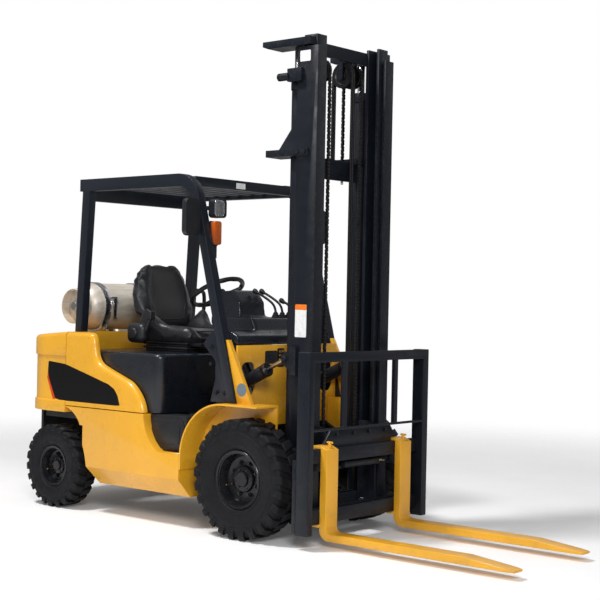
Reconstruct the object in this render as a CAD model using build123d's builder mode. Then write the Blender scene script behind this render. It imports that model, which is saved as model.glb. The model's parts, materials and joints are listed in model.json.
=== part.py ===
from build123d import *
import math
import os

# Counterbalanced lift truck with a two-stage mast, a side shifter and forks. Millimetres.
# X points forward, Y to the truck's left and Z up. The origin is on the floor under the
# middle of the whole truck. On the drawing planes below, x is measured from the front axle.

os.makedirs("parts", exist_ok=True)

# Whole truck
wheelbase = 1600
load_distance = 493  # front axle to the face that the load rests against
fork_length = 1177
rear_overhang = 475
body_half_width = 560
panel_gap = 6  # between panels, and between pieces that move past each other
fit_gap = 0.3  # between curved faces that turn or slide on each other
slide_gap = 0.5  # between flat faces that slide on each other

# Wheels
front_tyre_radius = 336
front_tyre_width = 190
front_rim_radius = 155
front_track = 972
front_facets = 28
rear_tyre_radius = 260
rear_tyre_width = 160
rear_rim_radius = 118
rear_track = 980
rear_facets = 24
lug_height = 15
rim_disc = 12
front_hub_radius = 70
rear_hub_radius = 54

# Axles and steering
axle_tube_radius = 72
differential_radius = 150
differential_width = 190
axle_face = 378  # half the length of the drive axle between the hubs
kingpin_offset = 70  # kingpin to the inner face of the tyre
kingpin_radius = 20
knuckle_radius = 36
beam_depth = 92
beam_height = 150
beam_plate = 26
trunnion_radius = 24

# Frame
frame_plate = 24
frame_outer = 374
frame_bottom = 185
sill_top = 285
sill_inset = 62
step_height = 430
seam_height = 650
step_front = -467
step_rear = -771
step_depth = 60
frame_nose = 118
frame_rear = -1235
weight_rail_rear = -1900
floor_front = -150
weight_rail = 60
pivot_plate = 20

# Front fenders and dash
fender_top = 746
fender_front = 129
fender_radius = 329
fender_sheet = 10
fender_inner = 386
dash_x = -130
dash_plate = 10
dash_top = 1072
dash_half_width = 478
cheek_plate = 28
cheek_top = 1102
cheek_foot = 14

# Counterweight
weight_seam = -1490
weight_corner = 253
weight_corner_x = -1694
weight_bottom = 605
belt_top = 674
band_bottom = 956
weight_top = 1108
weight_slope = 5  # degrees
weight_inset = 9
tail_bottom = 240
tail_half_width = 345
tail_front = -1965
tow_jaw_bottom = 400
tow_pin_radius = 16
tow_slot = 60
tow_pin_inset = 42
tow_pin_depth = 280
grille_bottom = 720
grille_width = 420
grille_height = 190
grille_depth = 70
grille_slats = 6

# Side panels, hood and engine
panel_thickness = 42
pillar_width = 130
pillar_front = -1398
hood_top = 1000
hood_front = -690
hood_wall = 8
hood_corner = 60
hinge_radius = 12
hinge_eye_radius = 18
hinge_x = -1412
hinge_z = 996
hinge_width = 20
engine_length = 560
engine_width = 420
engine_height = 480
engine_rear = -1290
engine_bottom = 380
gearbox_length = 455
gearbox_width = 330
gearbox_bottom = 230
gearbox_height = 330

# Seat
seat_front = -690
seat_rear = -1235
seat_half_width = 250
seat_base_height = 60
cushion_height = 95
cushion_wing = 110
wing_width = 60
seat_back_top = 1540
seat_back_thickness = 100
seat_back_width = 470
seat_recline = 12  # degrees

# Overhead guard
guard_top = 2060
guard_beam = 75
guard_tube = 56
guard_outer = 498
guard_rear = -1455
rear_post_foot = -1450
rear_post_head = -1392
front_post_foot = -121  # at the fender's top
front_post_lean = 0.27
guard_bend = 150
guard_foot_plate = 14
guard_cross_drop = 130
roof_bars = 7
roof_bar = 30

# Gas bottle
bottle_radius = 150
bottle_length = 690
bottle_x = -1640
bottle_z = 1266
bottle_collar = 112
bracket_width = 50

# Mast
mast_bottom = 92
mast_height = 2805
rail_rear = 195
rail_depth = 146
rail_outer = 344
rail_web = 15
rail_flange = 75
rail_flange_thickness = 19
inner_gap = 8
inner_web = 14
inner_flange = 82
inner_flange_thickness = 17
inner_bottom = 112
tie_thickness = 14
tie_height = 118
mid_tie = 2033
collar_height = 38
collar_reach = 212
collar_outer = 18
crosshead_reach = 250
crosshead_gap = 7
crosshead_height = 42
lift_barrel_radius = 36
lift_rod_radius = 22
lift_cylinder_x = 150
lift_cylinder_y = 284
lift_barrel_bottom = 130
lift_rod_foot = 250
sheave_radius = 64
sheave_width = 30
sheave_x = 196
sheave_y = 142
pulley_radius = 70
pulley_y = 60
chain_width = 22
chain_thickness = 14
chain_foot = 470
chain_lug_height = 30
hose_radius = 8
hose_gap = 1
mast_pivot_ring = 26
mast_pivot_plate = 22

# Tilt cylinders
tilt_rear = (-320, 780)
tilt_front = (160, 1010)
tilt_y = 348
tilt_barrel_radius = 38
tilt_barrel_length = 380
tilt_rod_radius = 13
tilt_eye_radius = 26
tilt_eye_width = 26
tilt_pin_radius = 12.5
tilt_ear = 10
eye_play = 7

# Carriage, side shifter, backrest and forks
plate_outer = 233
plate_thickness = 16
plate_rear = 232
roller_x = 268
roller_radius = 27
roller_width = 66
roller_low = 175
roller_high = 585
bar_rear = 358
carriage_bar = 24
carriage_half_width = 430
carriage_bar_top = 520
carriage_bar_height = 120
shifter_bar = 40
shifter_half_width = 497
hook_span = 407
bar_height = 76
bar_top = 532
shifter_plate_top = 625
end_plate = 25
end_plate_top = 480
shift_barrel_radius = 21
shift_barrel_length = 312
shift_rod_radius = 10
shift_travel = 100
shift_barrel_end = 162
shift_lug_y = 275
shift_z = 428
fork_shank = 45
fork_width = 102
fork_spacing = 336
fork_bottom = 39
fork_heel = 90
fork_heel_reach = 60
fork_blade = 42
fork_top = 549
fork_tip = 12
fork_tip_width = 70
fork_taper = 300
fork_hook = 12
fork_hook_depth = 28
backrest_top = 1059
backrest_bottom = 80
backrest_post = 50
backrest_depth = 80
backrest_bar = 55
backrest_bar_depth = 28
backrest_inner = 28
backrest_inner_y = 232
backrest_rod = 14
backrest_rod_z = 640

# Controls, lamps and mirrors
steering_x = -725
steering_z = 1373
steering_radius = 180
steering_rim = 15
steering_tilt = 30
column_radius = 24
hump_front = -421
hump_rear = -600
hump_top = 1388
hump_half_width = 115
cowl_shelf = 1227
lever_x = -275
lever_knobs = [(40, -440, 1380), (100, -440, 1380), (160, -330, 1325)]
lever_radius = 7
knob_radius = 14
lamp_size = 88
lamp_depth = 62
lamp_x = -350
lamp_z = 1855
signal_width = 62
signal_height = 140
signal_z = 1712
mirror_width = 120
mirror_height = 215
mirror_x = -411
mirror_gap = 8
mirror_z = 1798
mirror_depth = 34

fork_face = load_distance
front_axle_x = (wheelbase + rear_overhang - load_distance - fork_length) / 2
weight_rear = -wheelbase - rear_overhang
front_wheel_y = front_track / 2
rear_wheel_y = rear_track / 2
kingpin_y = rear_wheel_y - rear_tyre_width / 2 - kingpin_offset
steer_sweep = math.hypot(rear_tyre_radius, kingpin_offset + rear_tyre_width) + 12
rail_front = rail_rear + rail_depth
outer_rail_top = mast_height - 67
sheave_z = mast_height - 173
lift_barrel_top = outer_rail_top - 178
chain_anchor = mid_tie + 67
inner_rear = rail_rear + rail_flange_thickness + inner_gap
inner_front = rail_front - rail_flange_thickness - inner_gap
inner_outer = rail_outer - rail_web - inner_gap
rail_inner = rail_outer - rail_flange
shank_rear = fork_face - fork_shank
shifter_front = shank_rear - slide_gap
shifter_rear = shifter_front - shifter_bar
bar_front = bar_rear + carriage_bar
lower_bar_bottom = bar_top - hook_span
guard_inner = guard_outer - guard_tube
fender_crown = step_front + 1 + fender_radius
fender_spring = fender_top - fender_radius
post_half = guard_tube / 2 * math.hypot(1, front_post_lean)

side = Plane(origin=(front_axle_x, 0, 0), x_dir=(1, 0, 0), z_dir=(0, -1, 0))
plan = Plane(origin=(front_axle_x, 0, 0))
front = Plane(origin=(front_axle_x, 0, 0), x_dir=(0, 1, 0), z_dir=(1, 0, 0))


def finish(part, name):
    """Label a finished piece and write it out."""
    part.label = name
    export_step(part, f"parts/{name}.step")


def at(x, y, z):
    """A point given from the front axle, in the truck's own frame."""
    return (front_axle_x + x, y, z)


def post_x(z):
    """Where the front post's centre line is at a height."""
    return front_post_foot - front_post_lean * (z - fender_top)


def slab(x0, x1, y0, y1, z0, z1, mode=Mode.ADD):
    """A square-edged block between two corners."""
    with BuildSketch(side.offset(-y0)) as face:
        with Locations(((x0 + x1) / 2, (z0 + z1) / 2)):
            Rectangle(abs(x1 - x0), abs(z1 - z0))
    extrude(face.sketch, amount=y0 - y1, mode=mode)


def prism(plane, points, depth, mode=Mode.ADD):
    """A straight-sided outline on a plane, made this deep along the plane's normal."""
    with BuildSketch(plane) as face:
        with BuildLine():
            Polyline(*points, close=True)
        make_face()
    extrude(face.sketch, amount=depth, mode=mode)


def rod(start, end, radius, mode=Mode.ADD):
    """A round bar between two points."""
    axis = Vector(*at(*end)) - Vector(*at(*start))
    with BuildSketch(Plane(origin=at(*start), z_dir=axis)) as face:
        Circle(radius)
    extrude(face.sketch, amount=axis.length, mode=mode)


# Tyres and rims


def make_tyre(radius, width, rim_radius, facets):
    """A pneumatic tyre: a faceted carcass with deep shoulder lugs that alternate."""
    wheel = Plane(origin=(0, 0, 0), x_dir=(1, 0, 0), z_dir=(0, -1, 0))
    carcass = radius - lug_height
    turn = 180 / facets
    rings = [(-0.36, rim_radius + 8), (-0.5, 0.72 * radius), (-0.45, carcass),
             (0.45, carcass), (0.5, 0.72 * radius), (0.36, rim_radius + 8)]
    lug_length = 1.3 * carcass * math.tan(math.pi / facets)
    with BuildPart() as tyre:
        for share, ring in rings:
            with BuildSketch(wheel.offset(share * width)):
                RegularPolygon(ring, facets, major_radius=False, rotation=turn)
        loft(ruled=True)
        with BuildSketch(wheel.offset(-width / 2)):
            RegularPolygon(rim_radius, facets, major_radius=False, rotation=turn)
        extrude(amount=width, mode=Mode.SUBTRACT)
        for half, first in ((width, 0), (-width, 1)):
            spokes = []
            for k in range(first, facets, 2):
                angle = math.radians(-90 + 2 * turn * k)
                spokes.append(Plane(origin=(0, 0, 0), x_dir=(math.cos(angle), 0, math.sin(angle)),
                                    z_dir=(-math.sin(angle), 0, math.cos(angle))))
            with BuildSketch(*spokes):
                with BuildLine():
                    Polyline((carcass - 4, -0.06 * half), (radius, -0.06 * half),
                             (radius, 0.40 * half), (radius - 9, 0.5 * half),
                             (0.86 * radius, 0.5 * half), (0.84 * radius, 0.455 * half),
                             close=True)
                make_face()
            extrude(amount=lug_length / 2, both=True, clean=False)
    return tyre.part


def make_rim(width, rim_radius, facets, hub_radius, hub_inner):
    """A dished disc wheel whose outer face looks to the truck's right."""
    wheel = Plane(origin=(0, 0, 0), x_dir=(1, 0, 0), z_dir=(0, -1, 0))
    turn = 180 / facets
    flange = rim_radius + 9
    with BuildPart() as rim:
        with BuildSketch(wheel.offset(-0.41 * width)):
            RegularPolygon(rim_radius, facets, major_radius=False, rotation=turn)
        extrude(amount=0.82 * width)
        with BuildSketch(wheel.offset(0.37 * width), wheel.offset(-0.41 * width)):
            RegularPolygon(flange, facets, major_radius=False, rotation=turn)
        extrude(amount=0.04 * width)
        for mouth, floor in ((0.41 * width, 0.06 * width), (-0.41 * width, 0.06 * width - rim_disc)):
            with BuildSketch(wheel.offset(mouth)):
                RegularPolygon(rim_radius - 6, facets, major_radius=False, rotation=turn)
            with BuildSketch(wheel.offset(floor)):
                RegularPolygon(rim_radius - 22, facets, major_radius=False, rotation=turn)
            loft(ruled=True, mode=Mode.SUBTRACT)
        with BuildSketch(wheel.offset(-hub_inner)):
            Circle(hub_radius)
        extrude(amount=hub_inner + 0.06 * width)
        with BuildSketch(wheel.offset(0.06 * width)):
            Circle(hub_radius)
        extrude(amount=0.2 * width, taper=12)
    return rim.part


front_tyre = make_tyre(front_tyre_radius, front_tyre_width, front_rim_radius, front_facets)
rear_tyre = make_tyre(rear_tyre_radius, rear_tyre_width, rear_rim_radius, rear_facets)
front_rim = make_rim(front_tyre_width, front_rim_radius, front_facets, front_hub_radius,
                     front_wheel_y - axle_face - slide_gap)
rear_rim = make_rim(rear_tyre_width, rear_rim_radius, rear_facets, rear_hub_radius,
                    rear_wheel_y - kingpin_y - knuckle_radius - 14 - slide_gap)
for end, x, y, radius, tyre, rim in (
        ("front", 0, front_wheel_y, front_tyre_radius, front_tyre, front_rim),
        ("rear", -wheelbase, rear_wheel_y, rear_tyre_radius, rear_tyre, rear_rim)):
    right = Location(at(x, -y, radius))
    left = Location(at(x, y, radius))
    finish(tyre.moved(right), f"tyre_{end}_right")
    finish(tyre.moved(left), f"tyre_{end}_left")
    finish(rim.moved(right), f"rim_{end}_right")
    finish(rim.mirror(Plane.XZ).moved(left), f"rim_{end}_left")

# Drive axle
with BuildPart() as front_axle:
    with BuildSketch(side.offset(-axle_face)):
        with Locations((0, front_tyre_radius)):
            Circle(axle_tube_radius)
    extrude(amount=2 * axle_face)
    with BuildSketch(side.offset(-differential_width / 2)):
        with Locations((0, front_tyre_radius)):
            Circle(differential_radius)
    extrude(amount=differential_width)
finish(front_axle.part, "front_axle")

# Steer axle: two plates with the steering cylinder between them, hung on a trunnion
with BuildPart() as steer_axle:
    for z in (rear_tyre_radius - beam_height / 2, rear_tyre_radius + beam_height / 2 - beam_plate):
        prism(plan.offset(z), [
            (-wheelbase - beam_depth / 2, -200), (-wheelbase - 40, -kingpin_y),
            (-wheelbase + 40, -kingpin_y), (-wheelbase + beam_depth / 2, -200),
            (-wheelbase + beam_depth / 2, 200), (-wheelbase + 40, kingpin_y),
            (-wheelbase - 40, kingpin_y), (-wheelbase - beam_depth / 2, 200)], beam_plate)
        with BuildSketch(plan.offset(z)):
            with Locations((-wheelbase, -kingpin_y), (-wheelbase, kingpin_y)):
                Circle(40)
        extrude(amount=beam_plate)
    slab(-wheelbase - beam_depth / 2, -wheelbase + beam_depth / 2, -120, 120,
         rear_tyre_radius - beam_height / 2, rear_tyre_radius + beam_height / 2)
    rod((-wheelbase - beam_depth / 2 - 34, 0, rear_tyre_radius),
        (-wheelbase + beam_depth / 2 + 34, 0, rear_tyre_radius), trunnion_radius)
    with BuildSketch(plan.offset(rear_tyre_radius - beam_height / 2)):
        with Locations((-wheelbase, -kingpin_y), (-wheelbase, kingpin_y)):
            Circle(kingpin_radius + fit_gap)
    extrude(amount=beam_height, mode=Mode.SUBTRACT)
finish(steer_axle.part, "steer_axle")

# Knuckles: kingpin boss, stub axle towards the wheel
knuckle_top = rear_tyre_radius + beam_height / 2 - beam_plate - 1
with BuildPart() as knuckle:
    with BuildSketch(plan.offset(2 * rear_tyre_radius - knuckle_top)):
        with Locations((-wheelbase, -kingpin_y)):
            Circle(knuckle_radius)
    extrude(amount=2 * (knuckle_top - rear_tyre_radius))
    with BuildSketch(plan.offset(rear_tyre_radius - beam_height / 2)):
        with Locations((-wheelbase, -kingpin_y)):
            Circle(kingpin_radius)
    extrude(amount=beam_height)
    rod((-wheelbase, -kingpin_y, rear_tyre_radius),
        (-wheelbase, -kingpin_y - knuckle_radius - 14, rear_tyre_radius), 34)
finish(knuckle.part, "knuckle_right")
finish(knuckle.part.mirror(Plane.XZ), "knuckle_left")

# Frame: side plates, cross members, rails under the counterweight, floor and step boxes
with BuildPart() as chassis_frame:
    prism(side.offset(frame_outer - frame_plate), [
        (frame_rear, frame_bottom + 60), (frame_rear + 60, frame_bottom), (-70, frame_bottom),
        (frame_nose, frame_bottom + 80), (frame_nose, 470), (floor_front, weight_bottom),
        (weight_rail_rear, weight_bottom), (weight_rail_rear, weight_bottom - weight_rail),
        (frame_rear, weight_bottom - weight_rail)], frame_plate)
    slab(step_rear + 2, step_front - 2, -body_half_width + step_depth, -frame_outer, step_height + 4,
         seam_height - panel_gap)
    mirror(about=Plane.XZ)
    inner = frame_outer - frame_plate
    slab(weight_rail_rear, weight_rail_rear + 20, -inner, inner, weight_bottom - weight_rail,
         weight_bottom)
    slab(-wheelbase - 110, -wheelbase + 110, -inner, inner, weight_bottom - weight_rail,
         weight_bottom)
    slab(frame_rear, frame_rear + 20, -inner, inner, frame_bottom + 60, engine_bottom)
    slab(-260, -240, -inner, inner, frame_bottom + 40, weight_bottom)
    slab(hood_front - 40, dash_x - dash_plate, -frame_outer, frame_outer, weight_bottom,
         weight_bottom + 8)
    for x in (-wheelbase - beam_depth / 2 - 2 - pivot_plate, -wheelbase + beam_depth / 2 + 2):
        slab(x, x + pivot_plate, -60, 60, rear_tyre_radius - 50, weight_bottom - weight_rail)
    rod((-wheelbase - 200, 0, rear_tyre_radius), (-wheelbase + 200, 0, rear_tyre_radius),
        trunnion_radius + fit_gap, mode=Mode.SUBTRACT)
    with BuildSketch(side.offset(-frame_outer)):
        with Locations((0, front_tyre_radius)):
            Circle(axle_tube_radius + fit_gap)
    extrude(amount=2 * frame_outer, mode=Mode.SUBTRACT)
    tilt_dx = tilt_front[0] - tilt_rear[0]
    tilt_dz = tilt_front[1] - tilt_rear[1]
    tilt_length = math.hypot(tilt_dx, tilt_dz)
    for y in (-tilt_y, tilt_y):
        for inner_y in (y - tilt_eye_width / 2 - fit_gap - tilt_ear,
                        y + tilt_eye_width / 2 + fit_gap):
            with BuildSketch(side.offset(-inner_y - tilt_ear)):
                with BuildLine():
                    Polyline((tilt_rear[0] - 60, weight_bottom), (tilt_rear[0] + 60, weight_bottom),
                             (tilt_rear[0] + 30, tilt_rear[1]))
                    ThreePointArc((tilt_rear[0] + 30, tilt_rear[1]),
                                  (tilt_rear[0], tilt_rear[1] + 30),
                                  (tilt_rear[0] - 30, tilt_rear[1]))
                    Line((tilt_rear[0] - 30, tilt_rear[1]), (tilt_rear[0] - 60, weight_bottom))
                make_face()
            extrude(amount=tilt_ear)
        rod((tilt_rear[0], y - tilt_eye_width / 2 - fit_gap - tilt_ear, tilt_rear[1]),
            (tilt_rear[0], y + tilt_eye_width / 2 + fit_gap + tilt_ear, tilt_rear[1]),
            tilt_pin_radius)
finish(chassis_frame.part, "chassis_frame")

# Body sides below the seam, with the rear arch, the step pocket and the chamfered sill
with BuildPart() as side_tanks:
    with BuildSketch(side.offset(frame_outer)):
        with BuildLine():
            Polyline((-1214, frame_bottom), (-1279, sill_top))
            ThreePointArc((-1279, sill_top), (-1330, 440), (weight_seam + panel_gap, seam_height - 50))
            Polyline((weight_seam + panel_gap, seam_height - 50),
                     (weight_seam + panel_gap, seam_height - panel_gap),
                     (step_rear, seam_height - panel_gap))
            ThreePointArc((step_rear, seam_height - panel_gap), (step_rear + 35, 520),
                          (step_rear + 125, step_height))
            Polyline((step_rear + 125, step_height), (step_front, step_height),
                     (step_front, sill_top), (-428, frame_bottom), (-1214, frame_bottom))
        make_face()
    extrude(amount=body_half_width - frame_outer)
    with BuildSketch(side.offset(frame_outer)):
        with Locations(((step_rear + step_front) / 2, (step_height + seam_height) / 2)):
            Rectangle(step_front - step_rear, seam_height - step_height)
    extrude(amount=body_half_width - frame_outer - step_depth, mode=Mode.SUBTRACT)
    prism(front.offset(-wheelbase), [
        (-body_half_width - 1, frame_bottom - 1), (-body_half_width + sill_inset, frame_bottom - 1),
        (-body_half_width, sill_top), (-body_half_width - 1, sill_top)],
        wheelbase - 200, Mode.SUBTRACT)
    with BuildSketch(plan):
        with Locations((-wheelbase, -kingpin_y)):
            Circle(steer_sweep)
    extrude(amount=2 * rear_tyre_radius + 15, mode=Mode.SUBTRACT)
    mirror(about=Plane.XZ)
finish(side_tanks.part, "side_tanks")

# Fenders over the front tyres, each with a wall on its inner side
with BuildPart() as fenders:
    with BuildSketch(side.offset(frame_outer)) as fender_wall:
        with BuildLine():
            CenterArc((fender_crown, fender_spring), fender_radius, 90, 90)
            Polyline((fender_crown, fender_top), (fender_front, fender_top),
                     (fender_front, fender_top - 30), (frame_nose, 480),
                     (floor_front, weight_bottom - 5), (step_front + 91, weight_bottom - 5),
                     (step_front + 1, step_height - 40),
                     (step_front + 1, fender_spring))
        make_face()
    extrude(amount=fender_inner - frame_outer)
    with BuildSketch(side.offset(frame_outer)):
        with BuildLine():
            CenterArc((fender_crown, fender_spring), fender_radius, 90, 90)
            Polyline((fender_crown, fender_top), (fender_front, fender_top),
                     (fender_front, fender_top - fender_sheet),
                     (fender_crown, fender_top - fender_sheet))
            CenterArc((fender_crown, fender_spring), fender_radius - fender_sheet, 90, 90)
            Polyline((step_front + 1 + fender_sheet, fender_spring),
                     (step_front + 1 + fender_sheet, sill_top + 60),
                     (step_front + 1, sill_top + 60), (step_front + 1, fender_spring))
        make_face()
    extrude(amount=body_half_width - frame_outer)
    mirror(about=Plane.XZ)
finish(fenders.part, "fenders")

# Dash panel: upright plate with holes for the tilt cylinders, and a sloping cheek each side
with BuildPart() as dash_panel:
    with BuildSketch(front.offset(dash_x - dash_plate)):
        with Locations((0, (weight_bottom + fender_top) / 2)):
            Rectangle(2 * frame_outer, fender_top - weight_bottom)
        with Locations((0, (fender_top + dash_top) / 2)):
            Rectangle(2 * (guard_inner - slide_gap), dash_top - fender_top)
        with Locations((-tilt_y, 880), (tilt_y, 880)):
            RectangleRounded(112, 190, 40, mode=Mode.SUBTRACT)
    extrude(amount=dash_plate)
    cheek_rear = post_half + slide_gap
    for y in (dash_half_width - cheek_plate, -dash_half_width):
        prism(side.offset(y), [
            (post_x(fender_top) + cheek_rear, fender_top), (cheek_foot, fender_top),
            (post_x(cheek_top) + cheek_rear + 18, cheek_top),
            (post_x(cheek_top) + cheek_rear, cheek_top)], cheek_plate)
finish(dash_panel.part, "dash_panel")

# Counterweight: crowned rear, belt and top band standing proud, tail with the tow pin slot
with BuildPart() as counterweight:
    crown = ((weight_corner_x - weight_rear) ** 2 + (body_half_width - weight_corner) ** 2
             - weight_corner ** 2) / (2 * (weight_corner_x - weight_rear - weight_corner))
    crown_x = weight_rear + crown
    corner_y = body_half_width - weight_corner
    reach = math.hypot(weight_corner_x - crown_x, corner_y)
    tangent_x = crown_x + crown * (weight_corner_x - crown_x) / reach
    tangent_y = crown * corner_y / reach
    mid = math.radians(112)
    for low, high, inset in ((weight_bottom, belt_top, 0), (belt_top, band_bottom, weight_inset),
                             (band_bottom, weight_top + 20, 0)):
        with BuildSketch(plan.offset(low)):
            with BuildLine():
                half = body_half_width
                Line((weight_seam, -half), (weight_corner_x, -half))
                ThreePointArc((weight_corner_x, -half),
                              (weight_corner_x + weight_corner * math.cos(mid),
                               -corner_y - weight_corner * math.sin(mid)),
                              (tangent_x, -tangent_y))
                ThreePointArc((tangent_x, -tangent_y), (weight_rear, 0), (tangent_x, tangent_y))
                ThreePointArc((tangent_x, tangent_y),
                              (weight_corner_x + weight_corner * math.cos(mid),
                               corner_y + weight_corner * math.sin(mid)),
                              (weight_corner_x, half))
                Polyline((weight_corner_x, half), (weight_seam, half), (weight_seam, -half))
            make_face()
            if inset:
                offset(amount=-inset, mode=Mode.REPLACE)
        extrude(amount=high - low)
    fall = math.tan(math.radians(weight_slope))
    prism(side.offset(-700), [
        (weight_seam + 1, weight_top), (weight_seam + 1, weight_top + 60),
        (weight_rear - 10, weight_top + 60),
        (weight_rear - 10, weight_top - fall * (weight_seam - weight_rear + 10))], 1400, Mode.SUBTRACT)
    with BuildSketch(plan.offset(tail_bottom)):
        with BuildLine():
            Line((tail_front, -tail_half_width), (tail_front - 20, -tail_half_width))
            ThreePointArc((tail_front - 20, -tail_half_width), (weight_rear + 14, 0),
                          (tail_front - 20, tail_half_width))
            Polyline((tail_front - 20, tail_half_width), (tail_front, tail_half_width),
                     (tail_front, -tail_half_width))
        make_face()
    extrude(amount=weight_bottom - tail_bottom)
    slab(weight_rear - 10, weight_rear + tow_slot, -tow_slot, tow_slot, tow_jaw_bottom,
         tow_jaw_bottom + tow_slot, mode=Mode.SUBTRACT)
    with BuildSketch(plan.offset(tail_bottom)):
        with Locations((weight_rear + tow_pin_inset, 0)):
            Circle(tow_pin_radius)
    extrude(amount=tow_pin_depth, mode=Mode.SUBTRACT)
    slab(weight_rear - 10, weight_rear + grille_depth, -grille_width / 2, grille_width / 2,
         grille_bottom, grille_bottom + grille_height, mode=Mode.SUBTRACT)
finish(counterweight.part, "counterweight")

# Radiator grille: slanting slats in a frame, set in the back of the counterweight
with BuildPart() as radiator_grille:
    grille_x = weight_rear + grille_depth
    with BuildSketch(front.offset(grille_x - 40)):
        with Locations((0, grille_bottom + grille_height / 2)):
            Rectangle(grille_width, grille_height)
            Rectangle(grille_width - 24, grille_height - 24, mode=Mode.SUBTRACT)
    extrude(amount=40)
    for k in range(grille_slats):
        z = grille_bottom + 24 + k * (grille_height - 48) / (grille_slats - 1)
        prism(side.offset(-grille_width / 2 + 12), [
            (grille_x - 34, z - 12), (grille_x - 28, z - 12), (grille_x - 6, z + 10),
            (grille_x - 12, z + 10)], grille_width - 24)
finish(radiator_grille.part, "radiator_grille")

# Side panels: upper body between the counterweight and the hood, with a pillar at the rear
with BuildPart() as side_panels:
    with BuildSketch(side.offset(body_half_width - panel_thickness)) as panel_face:
        with BuildLine():
            Polyline((weight_seam + panel_gap, seam_height), (weight_seam + panel_gap, weight_top),
                     (pillar_front - 40, weight_top), (pillar_front, weight_top - 20))
            Spline((pillar_front, weight_top - 20), (-1240, 960), (-1000, 868), (-850, 790),
                   (-778, seam_height), tangents=[(0.3, -1), (0.25, -1)])
            Line((-778, seam_height), (weight_seam + panel_gap, seam_height))
        make_face()
    extrude(amount=panel_thickness)
    pillar_inner = body_half_width - pillar_width
    slab(weight_seam + panel_gap, pillar_front, -pillar_inner, -body_half_width + panel_thickness,
         seam_height, weight_top)
    rod((hinge_x, -pillar_inner - 1, hinge_z), (hinge_x, -pillar_inner + hinge_width + panel_gap + 2,
                                                hinge_z), hinge_radius)
    mirror(about=Plane.XZ)
finish(side_panels.part, "side_panels")

# Hood: moulded cover over the engine, hinged at its rear top edge
hood_side = body_half_width - panel_thickness - panel_gap
with BuildPart() as hood:
    with BuildSketch(plan.offset(seam_height)):
        with BuildLine():
            Polyline((pillar_front + panel_gap, -hood_side), (hood_front, -hood_side),
                     (hood_front, hood_side), (pillar_front + panel_gap, hood_side), close=True)
        make_face()
    extrude(amount=hood_top - seam_height)
    front_corners = hood.edges().filter_by(Axis.Z).group_by(Axis.X)[-1]
    fillet(front_corners, hood_corner)
    fillet(hood.faces().sort_by(Axis.Z)[-1].edges().group_by(Axis.X)[1:], hood_corner / 2)
    offset(amount=-hood_wall, openings=[hood.faces().sort_by(Axis.Z)[0],
                                        hood.faces().sort_by(Axis.X)[0]], mode=Mode.REPLACE)
    with BuildSketch(side.offset(pillar_inner - panel_gap - hinge_width)):
        with Locations((hinge_x, hinge_z)):
            Circle(hinge_eye_radius)
        with Locations((hinge_x + 25, hood_top - hood_wall)):
            Rectangle(50, 2 * hood_wall)
    extrude(amount=hinge_width)
    with BuildSketch(side.offset(-pillar_inner + panel_gap)):
        with Locations((hinge_x, hinge_z)):
            Circle(hinge_eye_radius)
        with Locations((hinge_x + 25, hood_top - hood_wall)):
            Rectangle(50, 2 * hood_wall)
    extrude(amount=hinge_width)
    rod((hinge_x, -pillar_inner, hinge_z), (hinge_x, pillar_inner, hinge_z),
        hinge_radius + fit_gap, mode=Mode.SUBTRACT)
finish(hood.part, "hood")

# Engine and gearbox: the heavy mass under the hood, as plain blocks
with BuildPart() as engine:
    engine_front = engine_rear + engine_length
    slab(engine_rear, engine_front, -engine_width / 2, engine_width / 2, engine_bottom,
         engine_bottom + engine_height)
    slab(engine_front, engine_front + gearbox_length, -gearbox_width / 2, gearbox_width / 2,
         gearbox_bottom, gearbox_bottom + gearbox_height)
finish(engine.part, "engine")

# Seat: suspension base, cushion with hip wings, reclined back
with BuildPart() as seat_base:
    slab(seat_rear + 60, seat_front - 90, -seat_half_width + 50, seat_half_width - 50, hood_top,
         hood_top + seat_base_height)
finish(seat_base.part, "seat_base")

cushion_bottom = hood_top + seat_base_height
cushion_top = cushion_bottom + cushion_height
with BuildPart() as seat_cushion:
    slab(seat_rear, seat_front, -seat_half_width, seat_half_width, cushion_bottom, cushion_top)
    fillet(seat_cushion.edges().filter_by(Axis.Z), 60)
    for y in (seat_half_width - wing_width, -seat_half_width):
        prism(side.offset(y), [
            (seat_rear + 70, cushion_bottom + 20), (seat_rear + 40, cushion_top + 10),
            (seat_rear + 110, cushion_top + cushion_wing), (seat_rear + 180, cushion_top + 90),
            (seat_rear + 300, cushion_top + 22), (seat_front - 60, cushion_top - 10),
            (seat_front - 60, cushion_bottom + 20)], wing_width)
finish(seat_cushion.part, "seat_cushion")

recline = math.radians(seat_recline)
back_rise = (seat_back_top - cushion_top) / math.cos(recline)
back_plane = Plane(origin=at(seat_rear + 8, 0, cushion_top + fit_gap), x_dir=(0, 1, 0),
                   z_dir=(math.cos(recline), 0, math.sin(recline)))
back_half = seat_back_width / 2
with BuildPart() as seat_back:
    with BuildSketch(back_plane):
        with BuildLine():
            Polyline((-back_half, 190), (-180, 120), (-180, 0), (180, 0), (180, 120),
                     (back_half, 190))
            ThreePointArc((back_half, 190), (0.72 * back_half, 0.83 * back_rise),
                          (0, back_rise - seat_back_thickness * math.sin(recline)))
            ThreePointArc((0, back_rise - seat_back_thickness * math.sin(recline)),
                          (-0.72 * back_half, 0.83 * back_rise), (-back_half, 190))
        make_face()
    extrude(amount=seat_back_thickness)
finish(seat_back.part, "seat_back")

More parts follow.
